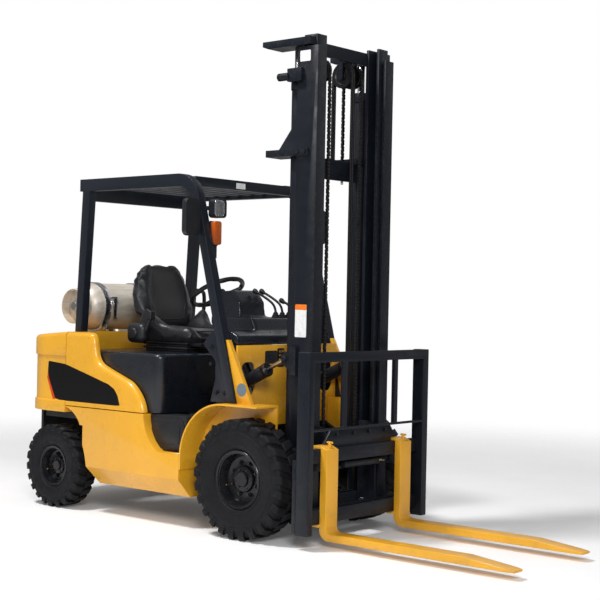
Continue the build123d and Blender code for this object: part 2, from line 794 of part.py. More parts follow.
# Overhead guard: leaning posts bent into the roof beams, cross beams and roof bars
beam_bottom = guard_top - guard_beam
with BuildPart() as overhead_guard:
    with BuildSketch(side.offset(guard_inner)):
        with BuildLine():
            Polyline((guard_rear, guard_top), (post_x(guard_top) + post_half, guard_top),
                     (post_x(fender_top) + post_half, fender_top),
                     (post_x(fender_top) - post_half, fender_top),
                     (post_x(beam_bottom) - post_half, beam_bottom),
                     (rear_post_head + guard_tube / 2, beam_bottom),
                     (rear_post_foot + guard_tube / 2, weight_top),
                     (rear_post_foot - guard_tube / 2, weight_top),
                     (rear_post_head - guard_tube / 2 - 8, beam_bottom),
                     (guard_rear, beam_bottom), close=True)
        make_face()
        for bend_x, bend_z, bend_radius in (
                (post_x(guard_top) + post_half, guard_top, guard_bend + guard_tube / 2),
                (post_x(beam_bottom) - post_half, beam_bottom, guard_bend - guard_tube / 2)):
            fillet(vertices().sort_by_distance((bend_x, bend_z))[0], bend_radius)
    extrude(amount=guard_tube)
    prism(side.offset((guard_inner + guard_outer - guard_foot_plate) / 2), [
        (-368, 1075), (-269, 978), (-267, 876), (-303, fender_top), (front_post_foot, fender_top),
        (post_x(1150), 1150), (-300, 1150)], guard_foot_plate)
    mirror(about=Plane.XZ)
    slab(guard_rear, guard_rear + 40, -guard_inner, guard_inner, guard_top - guard_cross_drop,
         guard_top - 12)
    front_beam = post_x(guard_top) - 60
    slab(front_beam, front_beam + 50, -guard_inner, guard_inner, beam_bottom + 4, guard_top - 14)
    pitch = (front_beam - guard_rear - 40) / (roof_bars + 1)
    for k in range(roof_bars):
        bar_x = guard_rear + 40 + (k + 1) * pitch
        prism(side.offset(-guard_inner), [
            (bar_x - 22, guard_top - 20), (bar_x + 6, guard_top - 14),
            (bar_x + 22, guard_top - 20 - roof_bar), (bar_x - 6, guard_top - 26 - roof_bar)],
            2 * guard_inner)
finish(overhead_guard.part, "overhead_guard")

# Gas bottle across the truck, with a collar round its valve, strapped in a cradle
with BuildPart() as gas_bottle:
    bottle_half = bottle_length / 2
    with BuildSketch(Plane(origin=at(bottle_x, 0, bottle_z), x_dir=(0, 1, 0), z_dir=(1, 0, 0))):
        with BuildLine():
            Line((-bottle_half, 0), (-bottle_half, 60))
            ThreePointArc((-bottle_half, 60), (-bottle_half + 26, 120),
                          (-bottle_half + 90, bottle_radius))
            Line((-bottle_half + 90, bottle_radius), (bottle_half - 90, bottle_radius))
            ThreePointArc((bottle_half - 90, bottle_radius), (bottle_half - 26, 120),
                          (bottle_half, 60))
            Polyline((bottle_half, 60), (bottle_half, 0), (-bottle_half, 0))
        make_face()
    revolve(axis=Axis(at(bottle_x, 0, bottle_z), (0, 1, 0)))
    with BuildSketch(side.offset(bottle_half - 30)):
        with Locations((bottle_x, bottle_z)):
            Circle(bottle_collar)
            Circle(bottle_collar - 6, mode=Mode.SUBTRACT)
    extrude(amount=70)
finish(gas_bottle.part, "gas_bottle")

with BuildPart() as bottle_bracket:
    for y in (-190, 150):
        with BuildSketch(side.offset(-y)):
            with Locations((bottle_x, bottle_z)):
                Circle(bottle_radius + 7)
            with BuildLine():
                Polyline((bottle_x - 100, weight_top - fall * (weight_seam - bottle_x + 100)),
                         (bottle_x + 100, weight_top - fall * (weight_seam - bottle_x - 100)),
                         (bottle_x + 130, bottle_z - 90), (bottle_x - 130, bottle_z - 90),
                         close=True)
            make_face()
            with Locations((bottle_x, bottle_z)):
                Circle(bottle_radius + fit_gap, mode=Mode.SUBTRACT)
        extrude(amount=bracket_width)
finish(bottle_bracket.part, "bottle_bracket")

# Instrument cowl along the dash's top, with the column's shroud
lean = math.radians(steering_tilt)


def column_point(distance):
    """A point on the steering column's axis, below the wheel's centre."""
    return (steering_x + distance * math.sin(lean), 0, steering_z - distance * math.cos(lean))


with BuildPart() as instrument_cowl:
    prism(side.offset(-300), [
        (dash_x, dash_top), (dash_x, 1125), (-185, 1150), (-335, 1150), (-335, dash_top)],
        300 + guard_inner - 1)
    prism(side.offset(-190), [
        (-185, 1148), (-225, cowl_shelf), (-430, cowl_shelf), (-430, 1090), (-185, 1090)], 190 + 230)
    prism(side.offset(-hump_half_width), [
        (hump_front, cowl_shelf), (hump_front - 12, 1320), (hump_front - 70, hump_top),
        (hump_rear, hump_top - 12), (-655, 1290), (-670, 1190), (-560, 1010), (-400, 1010),
        (-335, 1090), (-335, cowl_shelf)], 2 * hump_half_width)
    rod(column_point(0), column_point(900), column_radius + fit_gap, mode=Mode.SUBTRACT)
finish(instrument_cowl.part, "instrument_cowl")

# Steering column and wheel
column_foot = (steering_z - weight_bottom - 8 - column_radius) / math.cos(lean)
with BuildPart() as steering_column:
    rod(column_point(42), column_point(column_foot), column_radius)
finish(steering_column.part, "steering_column")

wheel_normal = Vector(-math.sin(lean), 0, math.cos(lean))
wheel_centre = Vector(*at(steering_x, 0, steering_z))
wheel_plane = Plane(origin=wheel_centre, x_dir=(0, 1, 0), z_dir=wheel_normal)
with BuildPart() as steering_wheel:
    with BuildSketch(Plane(origin=wheel_centre, x_dir=(0, 1, 0),
                           z_dir=(math.cos(lean), 0, math.sin(lean)))):
        with Locations((steering_radius - steering_rim, 0)):
            RegularPolygon(steering_rim, 10)
    revolve(axis=Axis(wheel_centre, wheel_normal))
    with BuildSketch(wheel_plane.offset(-41.5)):
        Circle(46)
    extrude(amount=34)
    for angle in (90, 210, 330):
        with BuildSketch(wheel_plane.offset(-24)):
            with Locations(Location((0, 0, 0), (0, 0, angle))):
                with Locations(((steering_radius - steering_rim) / 2 + 12, 0)):
                    Rectangle(steering_radius - steering_rim - 30, 26)
        extrude(amount=14)
finish(steering_wheel.part, "steering_wheel")

# Control levers with round knobs, standing on the cowl
with BuildPart() as control_levers:
    for y, knob_x, knob_z in lever_knobs:
        rod((lever_x, y, cowl_shelf), (lever_x, y, cowl_shelf + 26), lever_radius)
        rod((lever_x, y, cowl_shelf + 20), (knob_x, y, knob_z), lever_radius)
        reach = math.hypot(knob_x - lever_x, knob_z - cowl_shelf - 20)
        step_x = 20 * (knob_x - lever_x) / reach
        step_z = 20 * (knob_z - cowl_shelf - 20) / reach
        rod((knob_x - step_x, y, knob_z - step_z), (knob_x + step_x, y, knob_z + step_z),
            knob_radius)
finish(control_levers.part, "control_levers")

# Pedals on the floor plate
with BuildPart() as pedals:
    for y, width in ((-250, 64), (-120, 90), (60, 80)):
        prism(side.offset(-y - width), [(-330, 668), (-326, 658), (-226, 742), (-232, 750)], width)
        prism(side.offset(-y - width / 2 - 7), [
            (-276, weight_bottom + 8), (-250, weight_bottom + 8), (-256, 722), (-278, 704)], 14)
finish(pedals.part, "pedals")

# Lamps and mirrors on the guard's front posts
with BuildPart() as headlights:
    for y in (-guard_inner, guard_inner - lamp_size):
        slab(lamp_x - lamp_depth / 2, lamp_x + lamp_depth / 2, y, y + lamp_size,
             lamp_z - lamp_size / 2 - 11, lamp_z + lamp_size / 2 + 11)
    fillet(headlights.edges().filter_by(Axis.X), 24)
    for y in (-guard_inner - 20, guard_inner - 20):
        prism(side.offset(-y - 40), [
            (post_x(lamp_z - 12) + post_half + fit_gap, lamp_z - 12),
            (lamp_x - lamp_depth / 2 + 1, lamp_z - 12),
            (lamp_x - lamp_depth / 2 + 1, lamp_z + 12),
            (post_x(lamp_z + 12) + post_half + fit_gap, lamp_z + 12)], 40)
finish(headlights.part, "headlights")

with BuildPart() as turn_signals:
    for y in (-guard_inner, guard_inner - signal_width):
        slab(lamp_x - 24, lamp_x + 24, y, y + signal_width, signal_z - signal_height / 2,
             signal_z + signal_height / 2)
finish(turn_signals.part, "turn_signals")

with BuildPart() as mirrors:
    mirror_inner = guard_outer + mirror_gap
    slab(mirror_x, mirror_x + mirror_depth, -mirror_inner - mirror_width, -mirror_inner,
         mirror_z - mirror_height / 2, mirror_z + mirror_height / 2)
    fillet(mirrors.edges().filter_by(Axis.X), 34)
    slab(mirror_x + 8, mirror_x + 24, -mirror_inner - 10, -guard_outer, mirror_z - 8, mirror_z + 8)
    mirror(about=Plane.XZ)
finish(mirrors.part, "mirrors")

# Outer mast: channels open inwards, collars, ties, brackets and the rings on the axle tube
crosshead_z = outer_rail_top + crosshead_gap
collar_z = mid_tie + tie_height - 16
with BuildPart() as outer_mast:
    prism(plan.offset(mast_bottom), [
        (rail_rear, -rail_outer), (rail_front, -rail_outer), (rail_front, -rail_inner),
        (rail_front - rail_flange_thickness, -rail_inner),
        (rail_front - rail_flange_thickness, -rail_outer + rail_web),
        (rail_rear + rail_flange_thickness, -rail_outer + rail_web),
        (rail_rear + rail_flange_thickness, -rail_inner), (rail_rear, -rail_inner)],
        outer_rail_top - mast_bottom)
    collar_inner = lift_cylinder_y - lift_barrel_radius - collar_outer
    slab(rail_rear - collar_reach, rail_rear, -rail_outer - collar_outer, -collar_inner, collar_z,
         collar_z + collar_height)
    slab(rail_rear - 1, rail_rear + 95, -rail_outer - collar_outer, -rail_outer, collar_z,
         collar_z + collar_height)
    prism(side.offset(rail_outer - rail_web), [
        (rail_rear, collar_z + collar_height), (rail_rear - 130, collar_z + collar_height),
        (rail_rear, collar_z + 200)], rail_web)
    for ear in (tilt_y - tilt_eye_width / 2 - fit_gap - tilt_ear,
                tilt_y + tilt_eye_width / 2 + fit_gap):
        prism(side.offset(ear), [
            (rail_rear + 20, tilt_front[1] - 80), (tilt_front[0] - 20, tilt_front[1] - 26),
            (tilt_front[0] - 26, tilt_front[1] + 10), (tilt_front[0] - 8, tilt_front[1] + 28),
            (rail_rear + 20, tilt_front[1] + 56)], tilt_ear)
    slab(rail_rear + 1, rail_rear + 45, -tilt_y - tilt_eye_width / 2 - fit_gap - tilt_ear,
         -rail_outer, tilt_front[1] - 90, tilt_front[1] + 66)
    rod((tilt_front[0], -tilt_y - tilt_eye_width / 2 - fit_gap - tilt_ear, tilt_front[1]),
        (tilt_front[0], -tilt_y + tilt_eye_width / 2 + fit_gap + tilt_ear, tilt_front[1]),
        tilt_pin_radius)
    ring = axle_tube_radius + mast_pivot_ring
    with BuildSketch(side.offset(rail_outer - mast_pivot_plate)):
        with BuildLine():
            Polyline((0, front_tyre_radius + ring), (rail_rear + 10, 520),
                     (rail_rear + 10, mast_bottom + 20), (130, mast_bottom + 20),
                     (0, front_tyre_radius - ring))
            ThreePointArc((0, front_tyre_radius - ring), (-ring, front_tyre_radius),
                          (0, front_tyre_radius + ring))
        make_face()
        with Locations((0, front_tyre_radius)):
            Circle(axle_tube_radius + fit_gap, mode=Mode.SUBTRACT)
    extrude(amount=mast_pivot_plate)
    mirror(about=Plane.XZ)
    shelf = lift_cylinder_x - lift_barrel_radius - 10
    slab(shelf, rail_rear + 5, -rail_outer + 1, rail_outer - 1, lift_barrel_bottom - 18,
         lift_barrel_bottom)
    slab(rail_rear - 9, rail_rear + 5, -collar_inner, collar_inner, lift_barrel_bottom - 18,
         lift_barrel_bottom + 100)
    tie_x = rail_rear - 55
    slab(tie_x, tie_x + tie_thickness, -collar_inner - 10, collar_inner + 10, mid_tie,
         mid_tie + tie_height)
    for y in (-sheave_y, sheave_y):
        slab(sheave_x - sheave_radius - chain_thickness, tie_x + 1, y - 20, y + 20,
             chain_anchor - chain_lug_height, chain_anchor)
    slab(sheave_x - pulley_radius - 14, tie_x + 1, pulley_y - 24, pulley_y + 24,
         chain_anchor - chain_lug_height, chain_anchor)
    with BuildSketch(plan.offset(lift_barrel_bottom)):
        with Locations((lift_cylinder_x, -lift_cylinder_y), (lift_cylinder_x, lift_cylinder_y)):
            Circle(lift_barrel_radius + fit_gap)
    extrude(amount=outer_rail_top, mode=Mode.SUBTRACT)
finish(outer_mast.part, "outer_mast")

# Inner mast: channels inside the outer rails, ties, sheave hangers and the crosshead
sheave_side = sheave_width / 2 + 4
with BuildPart() as inner_mast:
    prism(plan.offset(inner_bottom), [
        (inner_rear, -inner_outer), (inner_front, -inner_outer),
        (inner_front, -inner_outer + inner_flange),
        (inner_front - inner_flange_thickness, -inner_outer + inner_flange),
        (inner_front - inner_flange_thickness, -inner_outer + inner_web),
        (inner_rear + inner_flange_thickness, -inner_outer + inner_web),
        (inner_rear + inner_flange_thickness, -inner_outer + inner_flange),
        (inner_rear, -inner_outer + inner_flange)], mast_height - inner_bottom)
    prism(side.offset(inner_outer - inner_flange), [
        (rail_rear - crosshead_reach, crosshead_z + 14),
        (rail_rear - crosshead_reach + 40, crosshead_z), (inner_rear + 1, crosshead_z),
        (inner_rear + 1, crosshead_z + crosshead_height),
        (rail_rear - crosshead_reach, crosshead_z + crosshead_height)], inner_flange)
    prism(side.offset(inner_outer - 1), [
        (rail_rear - crosshead_reach, crosshead_z + 14),
        (rail_rear - crosshead_reach + 40, crosshead_z), (inner_front - 14, crosshead_z),
        (inner_front - 14, crosshead_z + crosshead_height),
        (rail_rear - crosshead_reach, crosshead_z + crosshead_height)],
        rail_outer + collar_outer - inner_outer + 1)
    mirror(about=Plane.XZ)
    tie_half = inner_outer - inner_flange + 22
    inner_tie = inner_rear - tie_thickness - 2
    wrap_top = sheave_z + pulley_radius + hose_radius + 3
    slab(inner_tie, inner_rear, -tie_half, tie_half, wrap_top, crosshead_z + crosshead_height)
    slab(inner_tie, inner_rear, -tie_half, tie_half, inner_bottom, inner_bottom + 110)
    for y in (-sheave_y, pulley_y, sheave_y):
        for hanger_y in (y - sheave_side - 8, y + sheave_side):
            slab(sheave_x - 18, inner_tie + 1, hanger_y, hanger_y + 8, sheave_z - 22,
                 crosshead_z + crosshead_height)
        rod((sheave_x, y - sheave_side - 1, sheave_z), (sheave_x, y + sheave_side + 1, sheave_z), 12)
finish(inner_mast.part, "inner_mast")

# Chain sheaves and the hose pulley, each with the chain or hose that is bent round it
with BuildPart() as sheaves:
    for y, radius, thickness, width in (
            (-sheave_y, sheave_radius, chain_thickness, chain_width),
            (sheave_y, sheave_radius, chain_thickness, chain_width),
            (pulley_y, pulley_radius, 2 * hose_radius, 4 * hose_radius + hose_gap)):
        with BuildSketch(side.offset(-y - sheave_width / 2)):
            with Locations((sheave_x, sheave_z)):
                Circle(radius - thickness / 2)
                Circle(12 + fit_gap, mode=Mode.SUBTRACT)
        extrude(amount=sheave_width)
        with BuildSketch(side.offset(-y - width / 2)):
            with Locations((sheave_x, sheave_z)):
                RegularPolygon(radius + thickness / 2, 36)
                Circle(radius - thickness / 2 - 1, mode=Mode.SUBTRACT)
            with Locations((sheave_x, sheave_z - radius)):
                Rectangle(4 * radius, 2 * radius, mode=Mode.SUBTRACT)
        extrude(amount=width)
finish(sheaves.part, "sheaves")

# Lift cylinders
with BuildPart() as lift_barrels:
    with BuildSketch(plan.offset(lift_barrel_bottom)):
        with Locations((lift_cylinder_x, -lift_cylinder_y), (lift_cylinder_x, lift_cylinder_y)):
            Circle(lift_barrel_radius)
    extrude(amount=lift_barrel_top - lift_barrel_bottom)
    with BuildSketch(plan.offset(lift_rod_foot - 20)):
        with Locations((lift_cylinder_x, -lift_cylinder_y), (lift_cylinder_x, lift_cylinder_y)):
            Circle(lift_rod_radius + fit_gap)
    extrude(amount=lift_barrel_top, mode=Mode.SUBTRACT)
finish(lift_barrels.part, "lift_barrels")

with BuildPart() as lift_rods:
    with BuildSketch(plan.offset(lift_rod_foot)):
        with Locations((lift_cylinder_x, -lift_cylinder_y), (lift_cylinder_x, lift_cylinder_y)):
            Circle(lift_rod_radius)
    extrude(amount=crosshead_z - lift_rod_foot)
finish(lift_rods.part, "lift_rods")

# Chains and hoses: rear runs up from the outer mast, front runs down to the carriage
with BuildPart() as chains_rear:
    chain_x = sheave_x - sheave_radius
    for y in (-sheave_y, sheave_y):
        slab(chain_x - chain_thickness / 2, chain_x + chain_thickness / 2, y - chain_width / 2,
             y + chain_width / 2, chain_anchor, sheave_z)
finish(chains_rear.part, "chains_rear")

with BuildPart() as chains_front:
    chain_x = sheave_x + sheave_radius
    for y in (-sheave_y, sheave_y):
        slab(chain_x - chain_thickness / 2, chain_x + chain_thickness / 2, y - chain_width / 2,
             y + chain_width / 2, chain_foot, sheave_z)
finish(chains_front.part, "chains_front")

hose_offset = hose_radius + hose_gap / 2
with BuildPart() as hoses_rear:
    for y in (pulley_y - hose_offset, pulley_y + hose_offset):
        rod((sheave_x - pulley_radius, y, chain_anchor), (sheave_x - pulley_radius, y, sheave_z),
            hose_radius)
finish(hoses_rear.part, "hoses_rear")

with BuildPart() as hoses_front:
    for y in (pulley_y - hose_offset, pulley_y + hose_offset):
        rod((sheave_x + pulley_radius, y, chain_foot), (sheave_x + pulley_radius, y, sheave_z),
            hose_radius)
finish(hoses_front.part, "hoses_front")

# Tilt cylinders: barrels hinged on the frame, rods with eyes on the mast's pins
tilt_dir = (tilt_dx / tilt_length, tilt_dz / tilt_length)


def on_tilt(distance, y):
    """A point on a tilt cylinder's axis, measured from its rear pin."""
    return (tilt_rear[0] + distance * tilt_dir[0], y, tilt_rear[1] + distance * tilt_dir[1])


with BuildPart() as tilt_barrels:
    for y in (-tilt_y, tilt_y):
        rod(on_tilt(tilt_eye_radius + 8, y), on_tilt(tilt_barrel_length, y), tilt_barrel_radius)
        with BuildSketch(side.offset(-y - tilt_eye_width / 2)):
            with Locations(tilt_rear):
                Circle(tilt_eye_radius)
        extrude(amount=tilt_eye_width)
        rod(on_tilt(tilt_eye_radius - 8, y), on_tilt(tilt_eye_radius + 12, y), tilt_eye_width / 2)
        rod((tilt_rear[0], y - tilt_eye_width, tilt_rear[1]),
            (tilt_rear[0], y + tilt_eye_width, tilt_rear[1]), tilt_pin_radius + fit_gap,
            mode=Mode.SUBTRACT)
        rod(on_tilt(tilt_eye_radius + 40, y), on_tilt(tilt_barrel_length + 1, y),
            tilt_rod_radius + fit_gap, mode=Mode.SUBTRACT)
finish(tilt_barrels.part, "tilt_barrels")

with BuildPart() as tilt_rods:
    for y in (-tilt_y, tilt_y):
        rod(on_tilt(tilt_barrel_length - 190, y), on_tilt(tilt_length - tilt_eye_radius + 4, y),
            tilt_rod_radius)
        with BuildSketch(side.offset(-y - tilt_eye_width / 2)):
            with Locations(tilt_front):
                Circle(tilt_eye_radius)
        extrude(amount=tilt_eye_width)
        rod((tilt_front[0], y - tilt_eye_width, tilt_front[1]),
            (tilt_front[0], y + tilt_eye_width, tilt_front[1]), tilt_pin_radius + eye_play,
            mode=Mode.SUBTRACT)
finish(tilt_rods.part, "tilt_rods")

# Carriage: roller plates inside the mast, two bars across them
with BuildPart() as carriage:
    prism(side.offset(plate_outer - plate_thickness), [
        (plate_rear, roller_low - 40), (bar_rear, roller_low - 50), (bar_rear, roller_high + 10),
        (roller_x + 30, roller_high + 55), (plate_rear, roller_high + 55)], plate_thickness)
    for z in (roller_low, roller_high):
        with BuildSketch(side.offset(plate_outer - 1)):
            with Locations((roller_x, z)):
                Circle(roller_radius)
        extrude(amount=roller_width)
    mirror(about=Plane.XZ)
    for z, height in ((carriage_bar_top - carriage_bar_height, carriage_bar_height),
                      (lower_bar_bottom, bar_height)):
        slab(bar_rear, bar_front, -carriage_half_width, carriage_half_width, z, z + height)
    for y in (-sheave_y, pulley_y, sheave_y):
        slab(sheave_x + sheave_radius - 18, bar_rear, y - 18, y + 18, chain_foot - chain_lug_height,
             chain_foot)
finish(carriage.part, "carriage")

# Side shifter: hook bars for the forks, a claw over the carriage, pads and a top plate
claw_half = 105
shifter_end = fork_face - backrest_depth
with BuildPart() as side_shifter:
    for z in (bar_top - bar_height, lower_bar_bottom):
        slab(shifter_rear, shifter_front, -shifter_half_width, shifter_half_width, z,
             z + bar_height)
    slab(bar_rear + slide_gap, shifter_rear + 1, -280, 280, carriage_bar_top + slide_gap, bar_top)
    slab(bar_rear - 12, bar_rear + 1, -claw_half, claw_half, carriage_bar_top + slide_gap, bar_top)
    slab(bar_rear - 12, bar_rear - slide_gap, -claw_half, claw_half, carriage_bar_top - 24,
         carriage_bar_top + slide_gap)
    for y in (-400, 330):
        slab(bar_front + slide_gap, shifter_rear + 1, y, y + 70, lower_bar_bottom + 4,
             lower_bar_bottom + bar_height - 4)
    prism(front.offset(shifter_rear), [
        (-280, bar_top), (-280, fork_top + 3), (-330, fork_top + 3), (-270, shifter_plate_top),
        (270, shifter_plate_top), (330, fork_top + 3), (280, fork_top + 3), (280, bar_top)], 16)
    for y in (-shifter_half_width - backrest_post, shifter_half_width - 1):
        slab(shifter_end - end_plate, shifter_end, y, y + backrest_post + 1, backrest_bottom + 10,
             end_plate_top)
    slab(shifter_rear, shifter_front, shift_lug_y, shift_lug_y + 24, shift_z - 24,
         bar_top - bar_height + 1)
finish(side_shifter.part, "side_shifter")

# Side-shift cylinder: barrel on the carriage, rod to the shifter's lug
shift_x = bar_front + 9 + shift_barrel_radius
with BuildPart() as shift_cylinder:
    rod((shift_x, shift_barrel_end - shift_barrel_length, shift_z), (shift_x, shift_barrel_end, shift_z),
        shift_barrel_radius)
    for y in (shift_barrel_end - shift_barrel_length + 10, shift_barrel_end - 34):
        slab(bar_front, shift_x, y, y + 24, shift_z - 14, shift_z + 14)
    rod((shift_x, shift_barrel_end - 2 * shift_travel - 40, shift_z),
        (shift_x, shift_barrel_end + 1, shift_z), shift_rod_radius + fit_gap, mode=Mode.SUBTRACT)
finish(shift_cylinder.part, "shift_cylinder")

with BuildPart() as shift_rod:
    rod((shift_x, shift_barrel_end - shift_travel - 20, shift_z), (shift_x, shift_lug_y, shift_z),
        shift_rod_radius)
finish(shift_rod.part, "shift_rod")

# Load backrest
backrest_outer = shifter_half_width + backrest_post
with BuildPart() as load_backrest:
    for y in (-backrest_outer, shifter_half_width):
        slab(shifter_end, fork_face, y, y + backrest_post, backrest_bottom, backrest_top)
    slab(fork_face - backrest_bar_depth, fork_face, -shifter_half_width - 1, shifter_half_width + 1,
         backrest_top - backrest_bar, backrest_top)
    slab(fork_face - backrest_rod, fork_face, -shifter_half_width - 1, shifter_half_width + 1,
         backrest_rod_z - backrest_rod / 2, backrest_rod_z + backrest_rod / 2)
    for y in (-backrest_inner_y - backrest_inner / 2, backrest_inner_y - backrest_inner / 2):
        slab(fork_face - backrest_bar_depth, fork_face, y, y + backrest_inner, backrest_rod_z,
             backrest_top - backrest_bar + 1)
finish(load_backrest.part, "load_backrest")

# Forks: shank, heel, tapered blade, hooks on both bars
fork_tip_x = fork_face + fork_length
with BuildPart() as forks:
    with BuildSketch(side.offset(fork_spacing - fork_width / 2)):
        with BuildLine():
            Polyline((shank_rear, fork_top), (fork_face, fork_top - 20),
                     (fork_face, fork_bottom + fork_heel), (fork_face + fork_heel_reach,
                                                            fork_bottom + fork_blade),
                     (fork_tip_x - fork_taper, fork_bottom + fork_blade),
                     (fork_tip_x, fork_bottom + fork_tip), (fork_tip_x, fork_bottom),
                     (shank_rear + 40, fork_bottom), (shank_rear, fork_bottom + 30),
                     (shank_rear, fork_top))
        make_face()
    extrude(amount=fork_width)
    tip_y = (fork_width - fork_tip_width) / 2
    for y in (-fork_spacing - fork_width / 2, -fork_spacing + fork_width / 2):
        inward = 1 if y < -fork_spacing else -1
        prism(plan.offset(fork_bottom - 1), [
            (fork_tip_x + 1, y), (fork_tip_x + 1, y + inward * tip_y),
            (fork_tip_x - 60, y + inward * 2), (fork_tip_x - fork_taper, y)], fork_blade + 2, Mode.SUBTRACT)
    hook_y0 = -fork_spacing - fork_width / 2
    hook_y1 = -fork_spacing + fork_width / 2
    slab(shifter_rear - slide_gap - fork_hook, shank_rear + 1, hook_y0, hook_y1,
         bar_top + slide_gap, fork_top)
    slab(shifter_rear - slide_gap - fork_hook, shifter_rear - slide_gap, hook_y0, hook_y1,
         bar_top - fork_hook_depth, bar_top + slide_gap)
    slab(shifter_rear - slide_gap - fork_hook, shank_rear + 1, hook_y0, hook_y1,
         lower_bar_bottom - slide_gap - 18, lower_bar_bottom - slide_gap)
    mirror(about=Plane.XZ)
finish(forks.part, "forks")
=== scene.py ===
import json
import math

import bmesh
import bpy
from mathutils import Matrix, Vector


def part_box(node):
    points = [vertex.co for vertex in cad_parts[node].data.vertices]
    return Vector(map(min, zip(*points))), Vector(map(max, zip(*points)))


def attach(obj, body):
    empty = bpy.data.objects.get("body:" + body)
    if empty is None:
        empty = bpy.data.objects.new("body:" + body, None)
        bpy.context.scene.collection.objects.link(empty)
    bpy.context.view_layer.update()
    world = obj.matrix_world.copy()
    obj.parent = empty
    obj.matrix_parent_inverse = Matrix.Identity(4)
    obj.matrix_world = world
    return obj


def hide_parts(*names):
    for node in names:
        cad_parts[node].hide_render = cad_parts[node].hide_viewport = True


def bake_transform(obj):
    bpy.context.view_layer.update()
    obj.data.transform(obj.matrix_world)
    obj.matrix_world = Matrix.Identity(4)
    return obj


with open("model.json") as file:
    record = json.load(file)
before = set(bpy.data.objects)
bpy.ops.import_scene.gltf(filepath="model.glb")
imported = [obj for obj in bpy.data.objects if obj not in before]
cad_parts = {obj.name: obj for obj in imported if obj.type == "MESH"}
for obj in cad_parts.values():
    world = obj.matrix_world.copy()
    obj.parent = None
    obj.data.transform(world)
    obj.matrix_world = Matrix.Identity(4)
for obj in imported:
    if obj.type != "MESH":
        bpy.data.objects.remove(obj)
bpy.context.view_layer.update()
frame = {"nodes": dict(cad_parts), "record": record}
BODY_OF = {n: b for b, names in frame["record"]["behaviour"]["bodies"].items() for n in names}
SLOT_OF = {s["node"]: s["material_slot"] for s in frame["record"]["subparts"]}


# Places in the frame

def middle(node):
    """The middle of a node's box."""
    low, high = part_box(node)
    return (low + high) / 2


AXLE_X = middle("rim_front_right").x
SIDES = (-1, 1)
SIDE_NAMES = {-1: "right", 1: "left"}


def at(x, y, z):
    """A point whose x is measured from the front axle, in metres."""
    return Vector((AXLE_X + x, y, z))


# Materials

YELLOW = (0.80, 0.395, 0.020)
BLACK_PAINT = (0.0062, 0.0085, 0.0140)
GUARD_PAINT = (0.0082, 0.0115, 0.0185)
MOULDING = (0.0070, 0.0098, 0.0160)
DUST = (0.09, 0.08, 0.068)


class Shader:
    """A Principled material whose sockets are fed by procedural nodes in object space."""

    def __init__(self, name, rough, metallic=0.0, coat=0.0, sheen=0.0, specular=0.5):
        self.material = bpy.data.materials.new(name)
        self.material.use_nodes = True
        self.tree = self.material.node_tree
        self.main = self.tree.nodes["Principled BSDF"]
        self.main.inputs["Metallic"].default_value = metallic
        self.main.inputs["Coat Weight"].default_value = coat
        self.main.inputs["Coat Roughness"].default_value = 0.12
        self.main.inputs["Sheen Weight"].default_value = sheen
        self.main.inputs["Specular IOR Level"].default_value = specular
        self.main.inputs["Roughness"].default_value = rough
        self.rough = rough
        self.place = self.tree.nodes.new("ShaderNodeTexCoord").outputs["Object"]
        self.height = None

    def link(self, source, target):
        self.tree.links.new(source, target)

    def scaled(self, stretch):
        mapping = self.tree.nodes.new("ShaderNodeMapping")
        mapping.inputs["Scale"].default_value = stretch
        self.link(self.place, mapping.inputs["Vector"])
        return mapping.outputs["Vector"]

    def noise(self, scale, detail=3.0, stretch=(1, 1, 1)):
        node = self.tree.nodes.new("ShaderNodeTexNoise")
        node.inputs["Scale"].default_value = scale
        node.inputs["Detail"].default_value = detail
        self.link(self.scaled(stretch), node.inputs["Vector"])
        return node.outputs["Fac"]

    def cells(self, scale):
        node = self.tree.nodes.new("ShaderNodeTexVoronoi")
        node.inputs["Scale"].default_value = scale
        self.link(self.scaled((1, 1, 1)), node.inputs["Vector"])
        return node.outputs["Distance"]

    def span(self, value, low, high, to_low=0.0, to_high=1.0):
        node = self.tree.nodes.new("ShaderNodeMapRange")
        node.interpolation_type = "SMOOTHSTEP"
        for name, number in (("From Min", low), ("From Max", high), ("To Min", to_low), ("To Max", to_high)):
            node.inputs[name].default_value = number
        self.link(value, node.inputs["Value"])
        return node.outputs["Result"]

    def times(self, a, b):
        node = self.tree.nodes.new("ShaderNodeMath")
        node.operation = "MULTIPLY"
        self.link(a, node.inputs[0])
        if isinstance(b, float):
            node.inputs[1].default_value = b
        else:
            self.link(b, node.inputs[1])
        return node.outputs[0]

    def axis(self, name):
        node = self.tree.nodes.new("ShaderNodeSeparateXYZ")
        self.link(self.place, node.inputs[0])
        return node.outputs[name]

    def mix(self, share, first, second):
        """A colour between two others, each a colour or a socket."""
        node = self.tree.nodes.new("ShaderNodeMix")
        node.data_type = "RGBA"
        self.link(share, node.inputs["Factor"])
        for name, colour in (("A", first), ("B", second)):
            socket = next(s for s in node.inputs if s.name == name and s.type == "RGBA")
            if isinstance(colour, tuple):
                socket.default_value = (*colour, 1)
            else:
                self.link(colour, socket)
        return next(s for s in node.outputs if s.type == "RGBA")

    def colour(self, socket):
        self.link(socket, self.main.inputs["Base Color"])

    def roughness(self, value, low, high):
        self.link(self.span(value, 0.3, 0.7, low, high), self.main.inputs["Roughness"])

    def bump(self, value, strength, distance):
        node = self.tree.nodes.new("ShaderNodeBump")
        node.inputs["Strength"].default_value = strength
        node.inputs["Distance"].default_value = distance
        self.link(value, node.inputs["Height"])
        if self.height is not None:
            self.link(self.height, node.inputs["Normal"])
        self.height = node.outputs["Normal"]
        self.link(self.height, self.main.inputs["Normal"])


def tone(colour, factor):
    return tuple(c * factor for c in colour)


